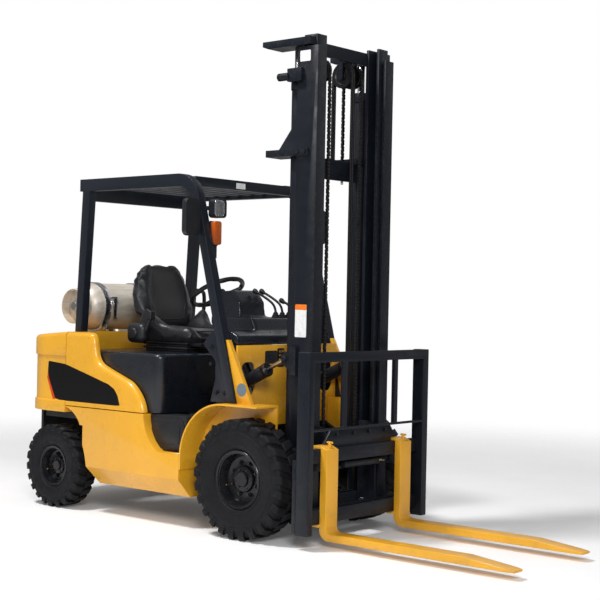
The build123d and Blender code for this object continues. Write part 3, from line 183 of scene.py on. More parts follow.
def worn_edges(shader, strength):
    """How far a spot is a convex edge, where paint thins."""
    geometry = shader.tree.nodes.new("ShaderNodeNewGeometry")
    edge = shader.span(geometry.outputs["Pointiness"], 0.52, 0.60)
    return shader.times(shader.times(edge, shader.span(shader.noise(60), 0.45, 0.7)), strength)


def paint(name, colour, rough, coat=0.0, dust=0.25, peel=0.05, wear=0.25, under=(0.10, 0.10, 0.105),
          specular=0.5):
    """Sprayed paint: faint orange peel, cloudy gloss, thin dust low down and thinner paint on edges."""
    shader = Shader(name, rough, coat=coat, specular=specular)
    cloud = shader.noise(2.5, 4)
    base = shader.mix(shader.span(cloud, 0.3, 0.7), tone(colour, 0.93), tone(colour, 1.05))
    low = shader.span(shader.axis("Z"), 0.0, 0.75, 1.0, 0.0)
    specks = shader.span(shader.noise(9, 6), 0.42, 0.75)
    dusty = shader.mix(shader.times(shader.times(low, specks), dust), base, DUST)
    shader.colour(shader.mix(worn_edges(shader, wear), dusty, under))
    shader.roughness(shader.noise(14, 4), rough - 0.05, rough + 0.08)
    shader.bump(shader.noise(420, 2), peel, 0.0006)
    return shader.material


def cast_paint(name, colour, rough, coat=0.0):
    """Paint over a casting, whose skin is a little lumpy."""
    shader = Shader(name, rough, coat=coat)
    base = shader.mix(shader.span(shader.noise(3, 4), 0.3, 0.7), tone(colour, 0.93), tone(colour, 1.04))
    shader.colour(shader.mix(worn_edges(shader, 0.2), base, (0.10, 0.10, 0.10)))
    shader.roughness(shader.noise(20, 4), rough - 0.04, rough + 0.09)
    shader.bump(shader.noise(16, 3), 0.10, 0.004)
    shader.bump(shader.noise(240, 3), 0.10, 0.0008)
    return shader.material


def plastic(name, colour, rough, grain):
    """Moulded plastic with a fine leather-like grain."""
    shader = Shader(name, rough)
    cloud = shader.span(shader.noise(5, 3), 0.3, 0.7)
    shader.colour(shader.mix(cloud, tone(colour, 0.88), tone(colour, 1.12)))
    shader.roughness(shader.noise(25, 3), rough - 0.05, rough + 0.08)
    shader.bump(shader.cells(1400), grain, 0.0004)
    return shader.material


def rubber(name, colour, rough, dust=0.35):
    """Rubber that has picked up pale dust in patches."""
    shader = Shader(name, rough, specular=0.22)
    base = shader.mix(shader.span(shader.noise(7, 5), 0.35, 0.7), tone(colour, 0.8), tone(colour, 1.25))
    dusty = shader.times(shader.span(shader.noise(30, 6), 0.5, 0.8), dust)
    shader.colour(shader.mix(dusty, base, (0.040, 0.038, 0.036)))
    shader.roughness(shader.noise(40, 4), rough - 0.08, rough + 0.1)
    shader.bump(shader.noise(260, 4), 0.25, 0.0007)
    return shader.material


def vinyl(name, colour, rough):
    """Seat cover: pebbled grain over soft wrinkles."""
    shader = Shader(name, rough, sheen=0.08)
    cloud = shader.span(shader.noise(6, 4), 0.3, 0.7)
    shader.colour(shader.mix(cloud, tone(colour, 0.85), tone(colour, 1.15)))
    shader.roughness(shader.noise(18, 3), rough - 0.06, rough + 0.08)
    shader.bump(shader.noise(22, 3), 0.12, 0.004)
    shader.bump(shader.cells(900), 0.3, 0.0005)
    return shader.material


def knit(name, colour):
    """Woven seat centre: fine crossed ribs with a soft sheen."""
    shader = Shader(name, 0.85, sheen=0.35)
    rib = shader.noise(120, 2, stretch=(1, 6, 1))
    weave = shader.cells(600)
    shader.colour(shader.mix(shader.span(weave, 0.1, 0.6), tone(colour, 0.7), tone(colour, 1.35)))
    shader.bump(rib, 0.2, 0.001)
    shader.bump(weave, 0.5, 0.0006)
    return shader.material


def metal(name, colour, rough, grime=0.3):
    """Bare metal with a fine finish and grime in patches."""
    shader = Shader(name, rough, metallic=1.0)
    lines = shader.noise(300, 3)
    shader.colour(shader.mix(shader.times(shader.span(shader.noise(12, 5), 0.5, 0.8), grime), colour,
                             tone(colour, 0.35)))
    shader.roughness(lines, max(rough - 0.06, 0.03), rough + 0.1)
    shader.bump(lines, 0.08, 0.0003)
    return shader.material


def clear_glass(name, colour):
    """Clear lens plastic."""
    shader = Shader(name, 0.03)
    shader.main.inputs["Transmission Weight"].default_value = 0.85
    shader.main.inputs["IOR"].default_value = 1.45
    shader.colour(shader.mix(shader.span(shader.noise(30, 2), 0.3, 0.7), tone(colour, 0.94), colour))
    return shader.material


def amber(name, colour):
    """Translucent amber lens with moulded ribs, and painted light: darker towards the bottom, lighter towards
    the top.
    """
    shader = Shader(name, 0.22, coat=0.5)
    shader.main.inputs["Subsurface Weight"].default_value = 0.25
    shader.main.inputs["Subsurface Radius"].default_value = (0.02, 0.008, 0.004)
    # painted shade and painted light: the lens colour runs from darker at the bottom to lighter at the top
    level = shader.span(shader.axis("Z"), 1.64, 1.78)
    shader.colour(shader.mix(level, tone(colour, 0.75), tone(colour, 1.1)))
    shader.bump(shader.noise(60, 1, stretch=(1, 1, 4)), 0.3, 0.002)
    return shader.material


def pale_tank(name, colour, painted_shade):
    """Old pale paint on the gas bottle: brushed scuffs round it, and warm painted shade on its underside,
    darker towards the bottom.
    """
    shader = Shader(name, 0.42, metallic=0.15)
    streaks = shader.noise(40, 5, stretch=(1, 0.12, 1))
    low = shader.span(shader.axis("Z"), 1.12, 1.30, 1.0, 0.0)
    base = shader.mix(shader.span(streaks, 0.35, 0.7), tone(colour, 0.82), tone(colour, 1.06))
    # painted shade: the bottle's lower part is mixed towards a warm dark colour
    shader.colour(shader.mix(shader.times(low, 0.75), base, painted_shade))
    shader.roughness(shader.noise(26, 4), 0.34, 0.5)
    shader.bump(streaks, 0.15, 0.0008)
    return shader.material


def decal(name, colour):
    """A plain printed film, faintly scuffed."""
    shader = Shader(name, 0.3, specular=0.2)
    shader.colour(shader.mix(shader.span(shader.noise(50, 4), 0.4, 0.75), colour, tone(colour, 0.86)))
    shader.bump(shader.noise(120, 2), 0.04, 0.0004)
    return shader.material


MATS = {
    "yellow": paint("yellow_gloss", YELLOW, 0.30, coat=0.35, dust=0.12, wear=0.12, under=(0.45, 0.25, 0.04)),
    "weight": cast_paint("yellow_casting", YELLOW, 0.32, coat=0.3),
    "fork": paint("yellow_fork", YELLOW, 0.36, coat=0.15, dust=0.2, wear=0.5, under=(0.22, 0.19, 0.15)),
    "black": paint("black_paint", BLACK_PAINT, 0.40, dust=0.1, wear=0.12, specular=0.28),
    "guard": paint("guard_paint", GUARD_PAINT, 0.36, dust=0.1, wear=0.12, specular=0.35),
    "frame": paint("frame_paint", tone(BLACK_PAINT, 0.8), 0.5, dust=0.5),
    "cast": cast_paint("black_casting", tone(BLACK_PAINT, 0.9), 0.5),
    "hood": paint("hood_moulding", MOULDING, 0.30, coat=0.25, dust=0.03, peel=0.02, wear=0.0,
                  specular=0.4),
    "plastic": plastic("black_plastic", (0.0095, 0.0105, 0.0135), 0.42, grain=0.1),
    "grip": plastic("grip_plastic", (0.0065, 0.007, 0.0085), 0.45, grain=0.15),
    "tyre": rubber("tyre_rubber", (0.0065, 0.0070, 0.0088), 0.62, dust=0.12),
    "rim": paint("rim_paint", (0.0050, 0.0055, 0.0075), 0.24, coat=0.12, dust=0.06, wear=0.1, specular=0.3),
    "hose": rubber("hose_rubber", (0.006, 0.006, 0.007), 0.5, dust=0.05),
    "pedal": rubber("pedal_rubber", (0.016, 0.016, 0.017), 0.7),
    "vinyl": vinyl("seat_vinyl", (0.0075, 0.0085, 0.0115), 0.40),
    "knit": knit("seat_cloth", (0.0048, 0.0052, 0.0064)),
    "steel": metal("bare_steel", (0.45, 0.45, 0.46), 0.32),
    "chain": metal("chain_steel", (0.075, 0.073, 0.072), 0.38, grime=0.6),
    "chrome": metal("chrome", (0.55, 0.56, 0.58), 0.16, grime=0.4),
    "bracket": metal("bright_bracket", (0.62, 0.62, 0.63), 0.22, grime=0.35),
    "sheave": metal("sheave_steel", (0.045, 0.046, 0.05), 0.36, grime=0.5),
    # the bottle's last colour is its warm painted shade underneath
    "tank": pale_tank("bottle_paint", (0.66, 0.60, 0.52), (0.50, 0.36, 0.20)),
    "lens": clear_glass("lamp_lens", (0.92, 0.95, 0.97)),
    "amber": amber("amber_lens", (0.50, 0.092, 0.006)),
    "mirror": metal("mirror_glass", (0.82, 0.84, 0.86), 0.05, grime=0.05),
    "engine": cast_paint("engine_casting", (0.10, 0.105, 0.11), 0.5),
    "black_film": decal("black_film", (0.0035, 0.0035, 0.004)),
    "red_film": decal("red_film", (0.62, 0.055, 0.012)),
    "white_film": decal("white_film", (0.80, 0.80, 0.80)),
    "orange_film": decal("orange_film", (0.85, 0.20, 0.02)),
    "grey_film": decal("grey_film", (0.16, 0.21, 0.25)),
    "brass": metal("brass", (0.62, 0.42, 0.18), 0.25),
}
SLOT_MATS = {
    "cast_black": "cast", "frame_dark": "frame", "yellow_paint": "yellow", "yellow_weight": "weight",
    "guard_dark": "guard", "hood_dark": "hood", "grille_black": "black", "engine_block": "engine",
    "plastic_black": "plastic", "bracket_chrome": "bracket", "pedal_rubber": "pedal",
    "mirror_body": "plastic", "mast_black": "black", "rod_chrome": "chrome",
}


# Mesh helpers

def placed(name, data):
    """A new object in the scene."""
    made = bpy.data.objects.new(name, data)
    bpy.context.scene.collection.objects.link(made)
    return made


def add_piece(name, mesh, material, body, replaces=()):
    """Put a finished mesh into the scene, on its body and with its material."""
    piece = placed(name, mesh)
    mesh.materials.clear()
    mesh.materials.append(MATS[material])
    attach(piece, body)
    if replaces:
        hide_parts(*replaces)
    return piece


def smooth(mesh, angle=35):
    """Shade smooth, but keep edges sharper than the angle."""
    mesh.polygons.foreach_set("use_smooth", [True] * len(mesh.polygons))
    mesh.set_sharp_from_angle(angle=math.radians(angle))


def evaluated(mesh, modifiers):
    """The mesh with a list of (type, settings) modifiers applied."""
    holder = placed("holder", mesh)
    for kind, settings in modifiers:
        modifier = holder.modifiers.new(kind, kind)
        for key, value in settings.items():
            setattr(modifier, key, value)
    graph = bpy.context.evaluated_depsgraph_get()
    made = bpy.data.meshes.new_from_object(holder.evaluated_get(graph))
    bpy.data.objects.remove(holder)
    return made


def bevelled(mesh, width, segments=2, angle=28):
    """The mesh with its sharp edges rounded off."""
    return evaluated(mesh, [
        ("BEVEL", {"width": width, "segments": segments, "limit_method": "ANGLE",
                   "angle_limit": math.radians(angle), "use_clamp_overlap": True, "harden_normals": False}),
        ("WEIGHTED_NORMAL", {"keep_sharp": True, "weight": 60}),
    ])


def clean_copy(node):
    """A node's form as a mesh with merged corners and whole flat faces."""
    source = frame["nodes"][node].data
    mesh = bpy.data.meshes.new(node + "_form")
    mesh.from_pydata([v.co[:] for v in source.vertices], [], [p.vertices[:] for p in source.polygons])
    form = bmesh.new()
    form.from_mesh(mesh)
    bmesh.ops.remove_doubles(form, verts=form.verts, dist=2e-5)
    bmesh.ops.dissolve_limit(form, angle_limit=math.radians(1.0), verts=form.verts, edges=form.edges)
    form.to_mesh(mesh)
    form.free()
    return mesh


def rounded(mesh, width, segments, sharp=50):
    """A rigid form with its edges rounded as pressed, cast or cut metal is."""
    smooth(mesh, 32)
    mesh = bevelled(mesh, width, segments)
    smooth(mesh, sharp)
    return mesh


def dress(node, width, segments, form=None, sharp=50):
    """A rigid node's own form, or a changed copy of it, rounded and put in its place."""
    mesh = rounded(clean_copy(node) if form is None else form, width, segments, sharp)
    slot = SLOT_OF[node]
    return add_piece(node + "_skin", mesh, SLOT_MATS[slot], BODY_OF[node], [node])


# Camera, lights and floor

CAMERA_PLACE = at(5.0668, -5.9696, 1.3541)
CAMERA_YAW = math.radians(40.60)
CAMERA_PITCH = math.radians(-0.39)
CAMERA_ROLL = math.radians(1.14)
LENS = 80.46
SENSOR = 36
SHIFT_Y = 0.0099


def set_camera():
    ahead = Vector((-math.sin(CAMERA_YAW) * math.cos(CAMERA_PITCH),
                    math.cos(CAMERA_YAW) * math.cos(CAMERA_PITCH), math.sin(CAMERA_PITCH)))
    right = Vector((math.cos(CAMERA_YAW), math.sin(CAMERA_YAW), 0))
    up = right.cross(ahead)
    rolled_right = right * math.cos(CAMERA_ROLL) + up * math.sin(CAMERA_ROLL)
    rolled_up = up * math.cos(CAMERA_ROLL) - right * math.sin(CAMERA_ROLL)
    data = bpy.data.cameras.new("camera")
    data.lens = LENS
    data.sensor_width = SENSOR
    data.shift_y = SHIFT_Y
    data.clip_end = 200
    camera = placed("camera", data)
    turn = Matrix((rolled_right, rolled_up, -ahead)).transposed().to_4x4()
    camera.matrix_world = Matrix.Translation(CAMERA_PLACE) @ turn
    bpy.context.scene.camera = camera


def area_light(name, place, target, size, power):
    data = bpy.data.lights.new(name, "AREA")
    data.shape = "DISK"
    data.size = size
    data.energy = power
    lamp = placed(name, data)
    lamp.location = place
    lamp.rotation_euler = (Vector(target) - Vector(place)).to_track_quat("-Z", "Y").to_euler()


def set_world(strength):
    """White where the camera sees it, also through glass, and a soft grey light elsewhere."""
    world = bpy.data.worlds.new("studio")
    bpy.context.scene.world = world
    world.use_nodes = True
    tree = world.node_tree
    shade = tree.nodes["Background"]
    path = tree.nodes.new("ShaderNodeLightPath")
    seen = tree.nodes.new("ShaderNodeMath")
    seen.operation = "MAXIMUM"
    tree.links.new(path.outputs["Is Camera Ray"], seen.inputs[0])
    tree.links.new(path.outputs["Is Transmission Ray"], seen.inputs[1])
    level = tree.nodes.new("ShaderNodeMapRange")
    level.inputs["To Min"].default_value = strength
    level.inputs["To Max"].default_value = 1.0
    tree.links.new(seen.outputs[0], level.inputs["Value"])
    shade.inputs["Color"].default_value = (1, 1, 1, 1)
    tree.links.new(level.outputs["Result"], shade.inputs["Strength"])


FLOOR_RADIUS = 30
FLOOR_GLOW = 0.05
FADE_START = 3.0
FADE_END = 7.5


def set_floor():
    """A pale floor that fades into the white background far from the truck."""
    form = bmesh.new()
    bmesh.ops.create_circle(form, cap_ends=True, segments=64, radius=FLOOR_RADIUS)
    mesh = bpy.data.meshes.new("floor")
    form.to_mesh(mesh)
    form.free()
    floor = placed("floor", mesh)
    shader = Shader("floor", 0.9, specular=0.1)
    clouds = shader.span(shader.noise(1.5, 4), 0.3, 0.7)
    shader.colour(shader.mix(clouds, (0.92, 0.92, 0.925), (0.95, 0.95, 0.955)))
    tree = shader.tree
    length = tree.nodes.new("ShaderNodeVectorMath")
    length.operation = "LENGTH"
    tree.links.new(shader.place, length.inputs[0])
    shader.main.inputs["Emission Color"].default_value = (1, 1, 1, 1)
    shader.main.inputs["Emission Strength"].default_value = FLOOR_GLOW
    away = shader.span(length.outputs["Value"], FADE_START, FADE_END)
    clear = tree.nodes.new("ShaderNodeBsdfTransparent")
    blend = tree.nodes.new("ShaderNodeMixShader")
    tree.links.new(away, blend.inputs[0])
    tree.links.new(shader.main.outputs[0], blend.inputs[1])
    tree.links.new(clear.outputs[0], blend.inputs[2])
    tree.links.new(blend.outputs[0], tree.nodes["Material Output"].inputs["Surface"])
    mesh.materials.append(shader.material)


set_camera()
set_world(0.29)
area_light("key", (-1.5, -3.2, 7.6), (0, 0, 0.9), 1.3, 450)
area_light("fill", (6.0, -6.2, 4.6), (0.5, 0, 1.0), 2.6, 370)
area_light("back", (-1.0, 5.5, 4.5), (0, 0, 1.2), 4.0, 30)
set_floor()


# Shape helpers

def mesh_from(name, verts, faces, sharp=35):
    mesh = bpy.data.meshes.new(name)
    mesh.from_pydata([tuple(v) for v in verts], [], faces)
    mesh.update()
    form = bmesh.new()
    form.from_mesh(mesh)
    bmesh.ops.remove_doubles(form, verts=form.verts, dist=1e-6)
    bmesh.ops.recalc_face_normals(form, faces=form.faces)
    form.to_mesh(mesh)
    form.free()
    smooth(mesh, sharp)
    return mesh


def joined(name, meshes, sharp):
    """Several meshes as one."""
    verts, faces = [], []
    for mesh in meshes:
        start = len(verts)
        verts += [v.co[:] for v in mesh.vertices]
        faces += [[start + i for i in p.vertices] for p in mesh.polygons]
    made = bpy.data.meshes.new(name)
    made.from_pydata(verts, [], faces)
    smooth(made, sharp)
    return made


def add_parts(name, parts, material, body, replaces=(), sharp=40):
    """Put several meshes into the scene as one piece."""
    return add_piece(name, joined(name, parts, sharp), material, body, replaces)


def across(direction):
    """Two unit vectors square to a direction and to each other."""
    direction = Vector(direction).normalized()
    helper = Vector((0, 0, 1)) if abs(direction.z) < 0.9 else Vector((1, 0, 0))
    first = direction.cross(helper).normalized()
    return first, direction.cross(first)


def tube_faces(count, rings, closed=False):
    """Faces between rings of count points each, and from the last ring to the first if closed."""
    faces = []
    for ring in range(rings if closed else rings - 1):
        here, there = ring * count, (ring + 1) % rings * count
        for k in range(count):
            after = (k + 1) % count
            faces.append([here + k, here + after, there + after, there + k])
    return faces


def end_faces(count, rings):
    """Faces that close the first and the last ring."""
    return [list(range(count)), [(rings - 1) * count + k for k in range(count)]]


def prism_faces(n, start=0):
    """Faces of two like outlines of n points each, and of the walls between them."""
    faces = [[start + i for i in range(n)], [start + n + i for i in range(n)]]
    faces += [[start + i, start + (i + 1) % n, start + n + (i + 1) % n, start + n + i] for i in range(n)]
    return faces


def lathe(name, profile, centre, axis, segments=64, sharp=30):
    """A closed profile of (radius, height) points turned about an axis."""
    axis = Vector(axis).normalized()
    first, second = across(axis)
    verts = []
    for radius, height in profile:
        for k in range(segments):
            turn = 2 * math.pi * k / segments
            verts.append(Vector(centre) + axis * height
                         + (first * math.cos(turn) + second * math.sin(turn)) * max(radius, 1e-5))
    faces = tube_faces(segments, len(profile))
    if profile[0] != profile[-1]:
        faces += end_faces(segments, len(profile))
    return mesh_from(name, verts, faces, sharp)


def rod(name, start, end, radius, segments=24):
    """A round bar with chamfered ends."""
    start, end = Vector(start), Vector(end)
    length = (end - start).length
    edge = min(radius, length) * 0.12
    profile = [(radius - edge, 0), (radius, edge), (radius, length - edge), (radius - edge, length)]
    return lathe(name, profile, start, end - start, segments, 50)


def block(name, low, high, edge=0.002, segments=2):
    """A box between two corners with rounded edges."""
    low, high = Vector(low), Vector(high)
    form = bmesh.new()
    bmesh.ops.create_cube(form, size=1.0)
    for v in form.verts:
        v.co = Vector((c + 0.5) * (h - l) + l for c, l, h in zip(v.co, low, high))
    mesh = bpy.data.meshes.new(name)
    form.to_mesh(mesh)
    form.free()
    smooth(mesh)
    mesh = bevelled(mesh, edge, segments)
    smooth(mesh, 50)
    return mesh


def plate(name, outline, lift, edge=0.0):
    """A flat outline of 3-D points given a thickness along a vector."""
    lift = Vector(lift)
    verts = [Vector(p) for p in outline] + [Vector(p) + lift for p in outline]
    mesh = mesh_from(name, verts, prism_faces(len(outline)))
    if edge:
        mesh = bevelled(mesh, edge, 2)
        smooth(mesh, 50)
    return mesh


def round_rectangle(width, height, corner, steps=6):
    """Points of a rounded rectangle about the origin."""
    points = []
    for quarter, (sx, sy) in enumerate(((1, 1), (-1, 1), (-1, -1), (1, -1))):
        for k in range(steps + 1):
            turn = math.pi / 2 * (quarter + k / steps)
            points.append((sx * (width / 2 - corner) + corner * math.cos(turn),
                           sy * (height / 2 - corner) + corner * math.sin(turn)))
    return points


def hexagon(name, centre, axis, width, height):
    """A bolt head or nut with a chamfered crown and a washer."""
    radius = width / math.sqrt(3)
    head = lathe(name, [(radius, 0), (radius, height * 0.8), (radius * 0.86, height)], centre, axis, 6, 20)
    ring = [(radius * 1.15, 0), (radius * 1.15, height * 0.18)]
    washer = lathe(name + "_washer", ring, centre, axis, 20, 30)
    return joined(name, [head, washer], 25)


def pipe(name, points, radius, sides=12, resolution=8):
    """A round pipe along a smooth line."""
    curve = bpy.data.curves.new(name, "CURVE")
    curve.dimensions = "3D"
    curve.bevel_depth = radius
    curve.bevel_resolution = max(1, sides // 4)
    curve.use_fill_caps = True
    spline = curve.splines.new("NURBS")
    spline.points.add(len(points) - 1)
    for target, point in zip(spline.points, points):
        target.co = (*point, 1)
    spline.order_u = 3
    spline.use_endpoint_u = True
    spline.resolution_u = resolution
    holder = placed(name, curve)
    made = bpy.data.meshes.new_from_object(holder.evaluated_get(bpy.context.evaluated_depsgraph_get()))
    bpy.data.objects.remove(holder)
    smooth(made, 40)
    return made


# Wheels

TYRE_RING = 120
LUG_COUNT = {"front": 25, "rear": 22}
LUG_DEPTH = 0.017


def tyre(end, side):
    node = f"tyre_{end}_{SIDE_NAMES[side]}"
    low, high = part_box(node)
    centre = (low + high) / 2
    radius = (high.z - low.z) / 2
    half = (high.y - low.y) / 2
    seat = (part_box(f"rim_{end}_right")[1].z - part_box(f"rim_{end}_right")[0].z) / 2 - 0.008
    base = radius - LUG_DEPTH
    wall = [(seat, 0.66), (seat + 0.010, 0.76), (seat + 0.016, 0.80), (seat + 0.018, 0.86),
            (seat + 0.028, 0.885), (seat + 0.034, 0.92), (seat + 0.036, 0.90), (0.66 * radius, 0.955),
            (0.72 * radius, 0.975), (0.755 * radius, 0.975), (0.76 * radius, 0.99), (0.775 * radius, 0.99),
            (0.78 * radius, 0.97), (0.84 * radius, 0.945), (0.89 * radius, 0.91), (base - 0.006, 0.86),
            (base, 0.78), (base + 0.002, 0.4)]
    profile = [(r, -s * half) for r, s in wall] + [(r, s * half) for r, s in reversed(wall)]
    profile.append(profile[0])
    parts = [lathe(node, profile, centre, (0, 1, 0), TYRE_RING, 40)]
    count = LUG_COUNT[end]
    pitch = 2 * math.pi / count
    outline = [(0.045, radius), (0.80, radius), (0.925, radius - 0.007), (0.995, radius - 0.024),
               (1.0, 0.90 * radius), (0.985, 0.845 * radius), (0.93, 0.835 * radius), (0.84, 0.90 * radius),
               (0.72, base - 0.008), (0.045, base - 0.006)]
    verts, faces = [], []
    for flank in (-1, 1):
        for k in range(count):
            start = len(verts)
            turn = pitch * (k + (0.5 if flank > 0 else 0))
            for way in (-1, 1):
                for share, reach in outline:
                    spread = pitch * (0.31 - 0.05 * share) * way
                    lean = pitch * 0.42 * share ** 1.5
                    angle = turn + lean + spread
                    verts.append(centre + Vector((reach * math.cos(angle), flank * share * half,
                                                  reach * math.sin(angle))))
            faces += prism_faces(len(outline), start)
    parts.append(bevelled(mesh_from(node + "_lugs", verts, faces), 0.0022, 1, 30))
    return add_parts(f"tread_{end}_{SIDE_NAMES[side]}", parts, "tyre",
                     BODY_OF[node], [node])


def rim(end, side):
    node = f"rim_{end}_{SIDE_NAMES[side]}"
    low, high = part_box(node)
    centre = Vector(((low.x + high.x) / 2, middle(f"tyre_{end}_{SIDE_NAMES[side]}").y, (low.z + high.z) / 2))
    out = Vector((0, side, 0))
    lip = (high.z - low.z) / 2
    half = abs(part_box(f"tyre_{end}_right")[1].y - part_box(f"tyre_{end}_right")[0].y) / 2
    bead = lip - 0.011
    inward = max(abs(low.y - centre.y), abs(high.y - centre.y)) - 0.0005
    hub = 0.46 * bead
    face = [(0.0001, 0.50 * half), (hub * 0.52, 0.50 * half), (hub * 0.60, 0.46 * half),
            (hub * 0.64, 0.34 * half), (hub * 0.98, 0.30 * half), (hub * 1.04, 0.24 * half),
            (hub * 1.06, 0.12 * half), (hub * 1.45, 0.08 * half), (bead * 0.82, 0.14 * half),
            (bead * 0.865, 0.26 * half), (bead * 0.89, 0.52 * half), (bead * 0.93, 0.60 * half),
            (bead * 0.945, 0.72 * half), (bead * 0.99, 0.74 * half), (lip - 0.003, 0.76 * half),
            (lip, 0.79 * half), (lip - 0.003, 0.82 * half), (bead * 0.985, 0.80 * half),
            (bead, 0.70 * half), (bead, -0.72 * half), (lip, -0.76 * half), (lip, -0.80 * half),
            (bead * 0.93, -0.78 * half), (bead * 0.88, -0.10 * half), (hub * 1.5, -0.04 * half),
            (hub * 1.02, -0.06 * half), (hub * 0.98, -inward), (0.0001, -inward)]
    parts = [lathe(node, face, centre, out, 72, 32)]
    count = 8 if end == "front" else 5
    nut_ring = hub * 1.32
    for k in range(count):
        turn = 2 * math.pi * (k + 0.5) / count
        spot = Vector((math.cos(turn) * nut_ring, 0, math.sin(turn) * nut_ring))
        start = centre + spot + out * 0.085 * half
        parts.append(hexagon("nut", start, out, 0.022, 0.014))
        parts.append(rod("stud", start + out * 0.012, start + out * 0.022, 0.006, 12))
    for k in range(6):
        turn = 2 * math.pi * k / 6
        spot = Vector((math.cos(turn), 0, math.sin(turn))) * hub * 0.80
        parts.append(rod("hub_bolt", centre + spot + out * 0.30 * half, centre + spot + out * 0.37 * half,
                         0.0065, 6))
    piece = add_piece(f"wheel_{end}_{SIDE_NAMES[side]}", joined(node, parts, 32), "rim", BODY_OF[node],
                      [node])
    valve_turn = math.radians(200)
    valve = centre + Vector((math.cos(valve_turn), 0, math.sin(valve_turn))) * bead * 0.80 + out * 0.13 * half
    add_piece(f"valve_{end}_{SIDE_NAMES[side]}", rod("valve", valve, valve + out * 0.03, 0.0045, 10),
              "brass", BODY_OF[node])
    return piece


# Chains and hoses

LINK_PITCH = 0.0191
CHAIN_WIDTH = 0.021
HOSE_SIDES = 14
NARROWEST_SHEAVE = 0.0295


def link_plate(middle_point, along, outward, sideways, thickness):
    """One figure-of-eight plate of a leaf chain, as verts and faces."""
    outline = []
    radius = 0.0068
    waist = 0.72
    for end in (1, -1):
        for k in range(7):
            turn = math.pi * (k / 6 - 0.5)
            outline.append((end * (LINK_PITCH / 2 + radius * math.cos(turn)), end * radius * math.sin(turn)))
        outline.append((0, end * radius * waist))
    verts = []
    for side in (-0.5, 0.5):
        for a, o in outline:
            verts.append(middle_point + along * a + outward * o + sideways * side * thickness)
    return verts, prism_faces(len(outline))


def chain_mesh(name, frames):
    """Leaf chain through a list of (point, along, outward) frames, one for each pitch."""
    verts, faces = [], []
    sideways = Vector((0, 1, 0))
    leaf = CHAIN_WIDTH / 6.5
    for k, (point, along, outward) in enumerate(frames):
        offsets = (-2.5, -0.5, 1.5) if k % 2 else (-1.5, 0.5, 2.5)
        for step in offsets:
            spot = point + sideways * step * leaf
            v, f = link_plate(spot, along, outward, sideways, leaf * 0.92)
            start = len(verts)
            verts += v
            faces += [[start + i for i in face] for face in f]
        pin = point + along * LINK_PITCH / 2
        bar = rod("pin", pin - sideways * CHAIN_WIDTH * 0.52, pin + sideways * CHAIN_WIDTH * 0.52, 0.0034, 8)
        start = len(verts)
        verts += [v.co[:] for v in bar.vertices]
        faces += [[start + i for i in p.vertices] for p in bar.polygons]
        bpy.data.meshes.remove(bar)
    mesh = bpy.data.meshes.new(name)
    mesh.from_pydata([tuple(v) for v in verts], [], faces)
    smooth(mesh, 40)
    return mesh


def straight_frames(x, y, low, high):
    count = max(1, round((high - low) / LINK_PITCH))
    step = (high - low) / count
    return [(Vector((x, y, low + (k + 0.5) * step)), Vector((0, 0, 1)), Vector((1, 0, 0)))
            for k in range(count)]


def solids_of(node):
    """The boxes of a node's separate solids, from low y to high y."""
    form = bmesh.new()
    mesh = clean_copy(node)
    form.from_mesh(mesh)
    left = set(form.verts)
    boxes = []
    while left:
        stack = [left.pop()]
        group = list(stack)
        while stack:
            for edge in stack.pop().link_edges:
                for v in edge.verts:
                    if v in left:
                        left.remove(v)
                        stack.append(v)
                        group.append(v)
        low = Vector(min(v.co[i] for v in group) for i in range(3))
        high = Vector(max(v.co[i] for v in group) for i in range(3))
        boxes.append((low, high))
    form.free()
    return sorted(boxes, key=lambda b: (round(b[0].y, 3), b[0].x))


def add_run(kind, node, number, mesh, x, y, body_a, body_b, start_z, end_z):
    """A chain or hose mesh in place of its node, fixed in the world and carried by no body."""
    piece = placed(f"{kind}_{node}_{number}", mesh)
    mesh.materials.append(MATS["chain" if kind == "leaf" else "hose"])
    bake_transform(piece)
    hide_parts(node)


def chain_run(node, *ends):
    for k, (low, high) in enumerate(solids_of(node)):
        x, y = (low.x + high.x) / 2, (low.y + high.y) / 2
        mesh = chain_mesh(f"{node}_{k}", straight_frames(x, y, low.z, high.z))
        add_run("leaf", node, k, mesh, x, y, *ends)


def hose_run(node, *ends):
    rings = 24
    for k, (low, high) in enumerate(solids_of(node)):
        x, y = (low.x + high.x) / 2, (low.y + high.y) / 2
        radius = (high.y - low.y) / 2
        profile = [(radius, (high.z - low.z) * i / rings) for i in range(rings + 1)]
        mesh = lathe(f"{node}_{k}", profile, (x, y, low.z), (0, 0, 1), HOSE_SIDES, 40)
        add_run("run", node, k, mesh, x, y, *ends)


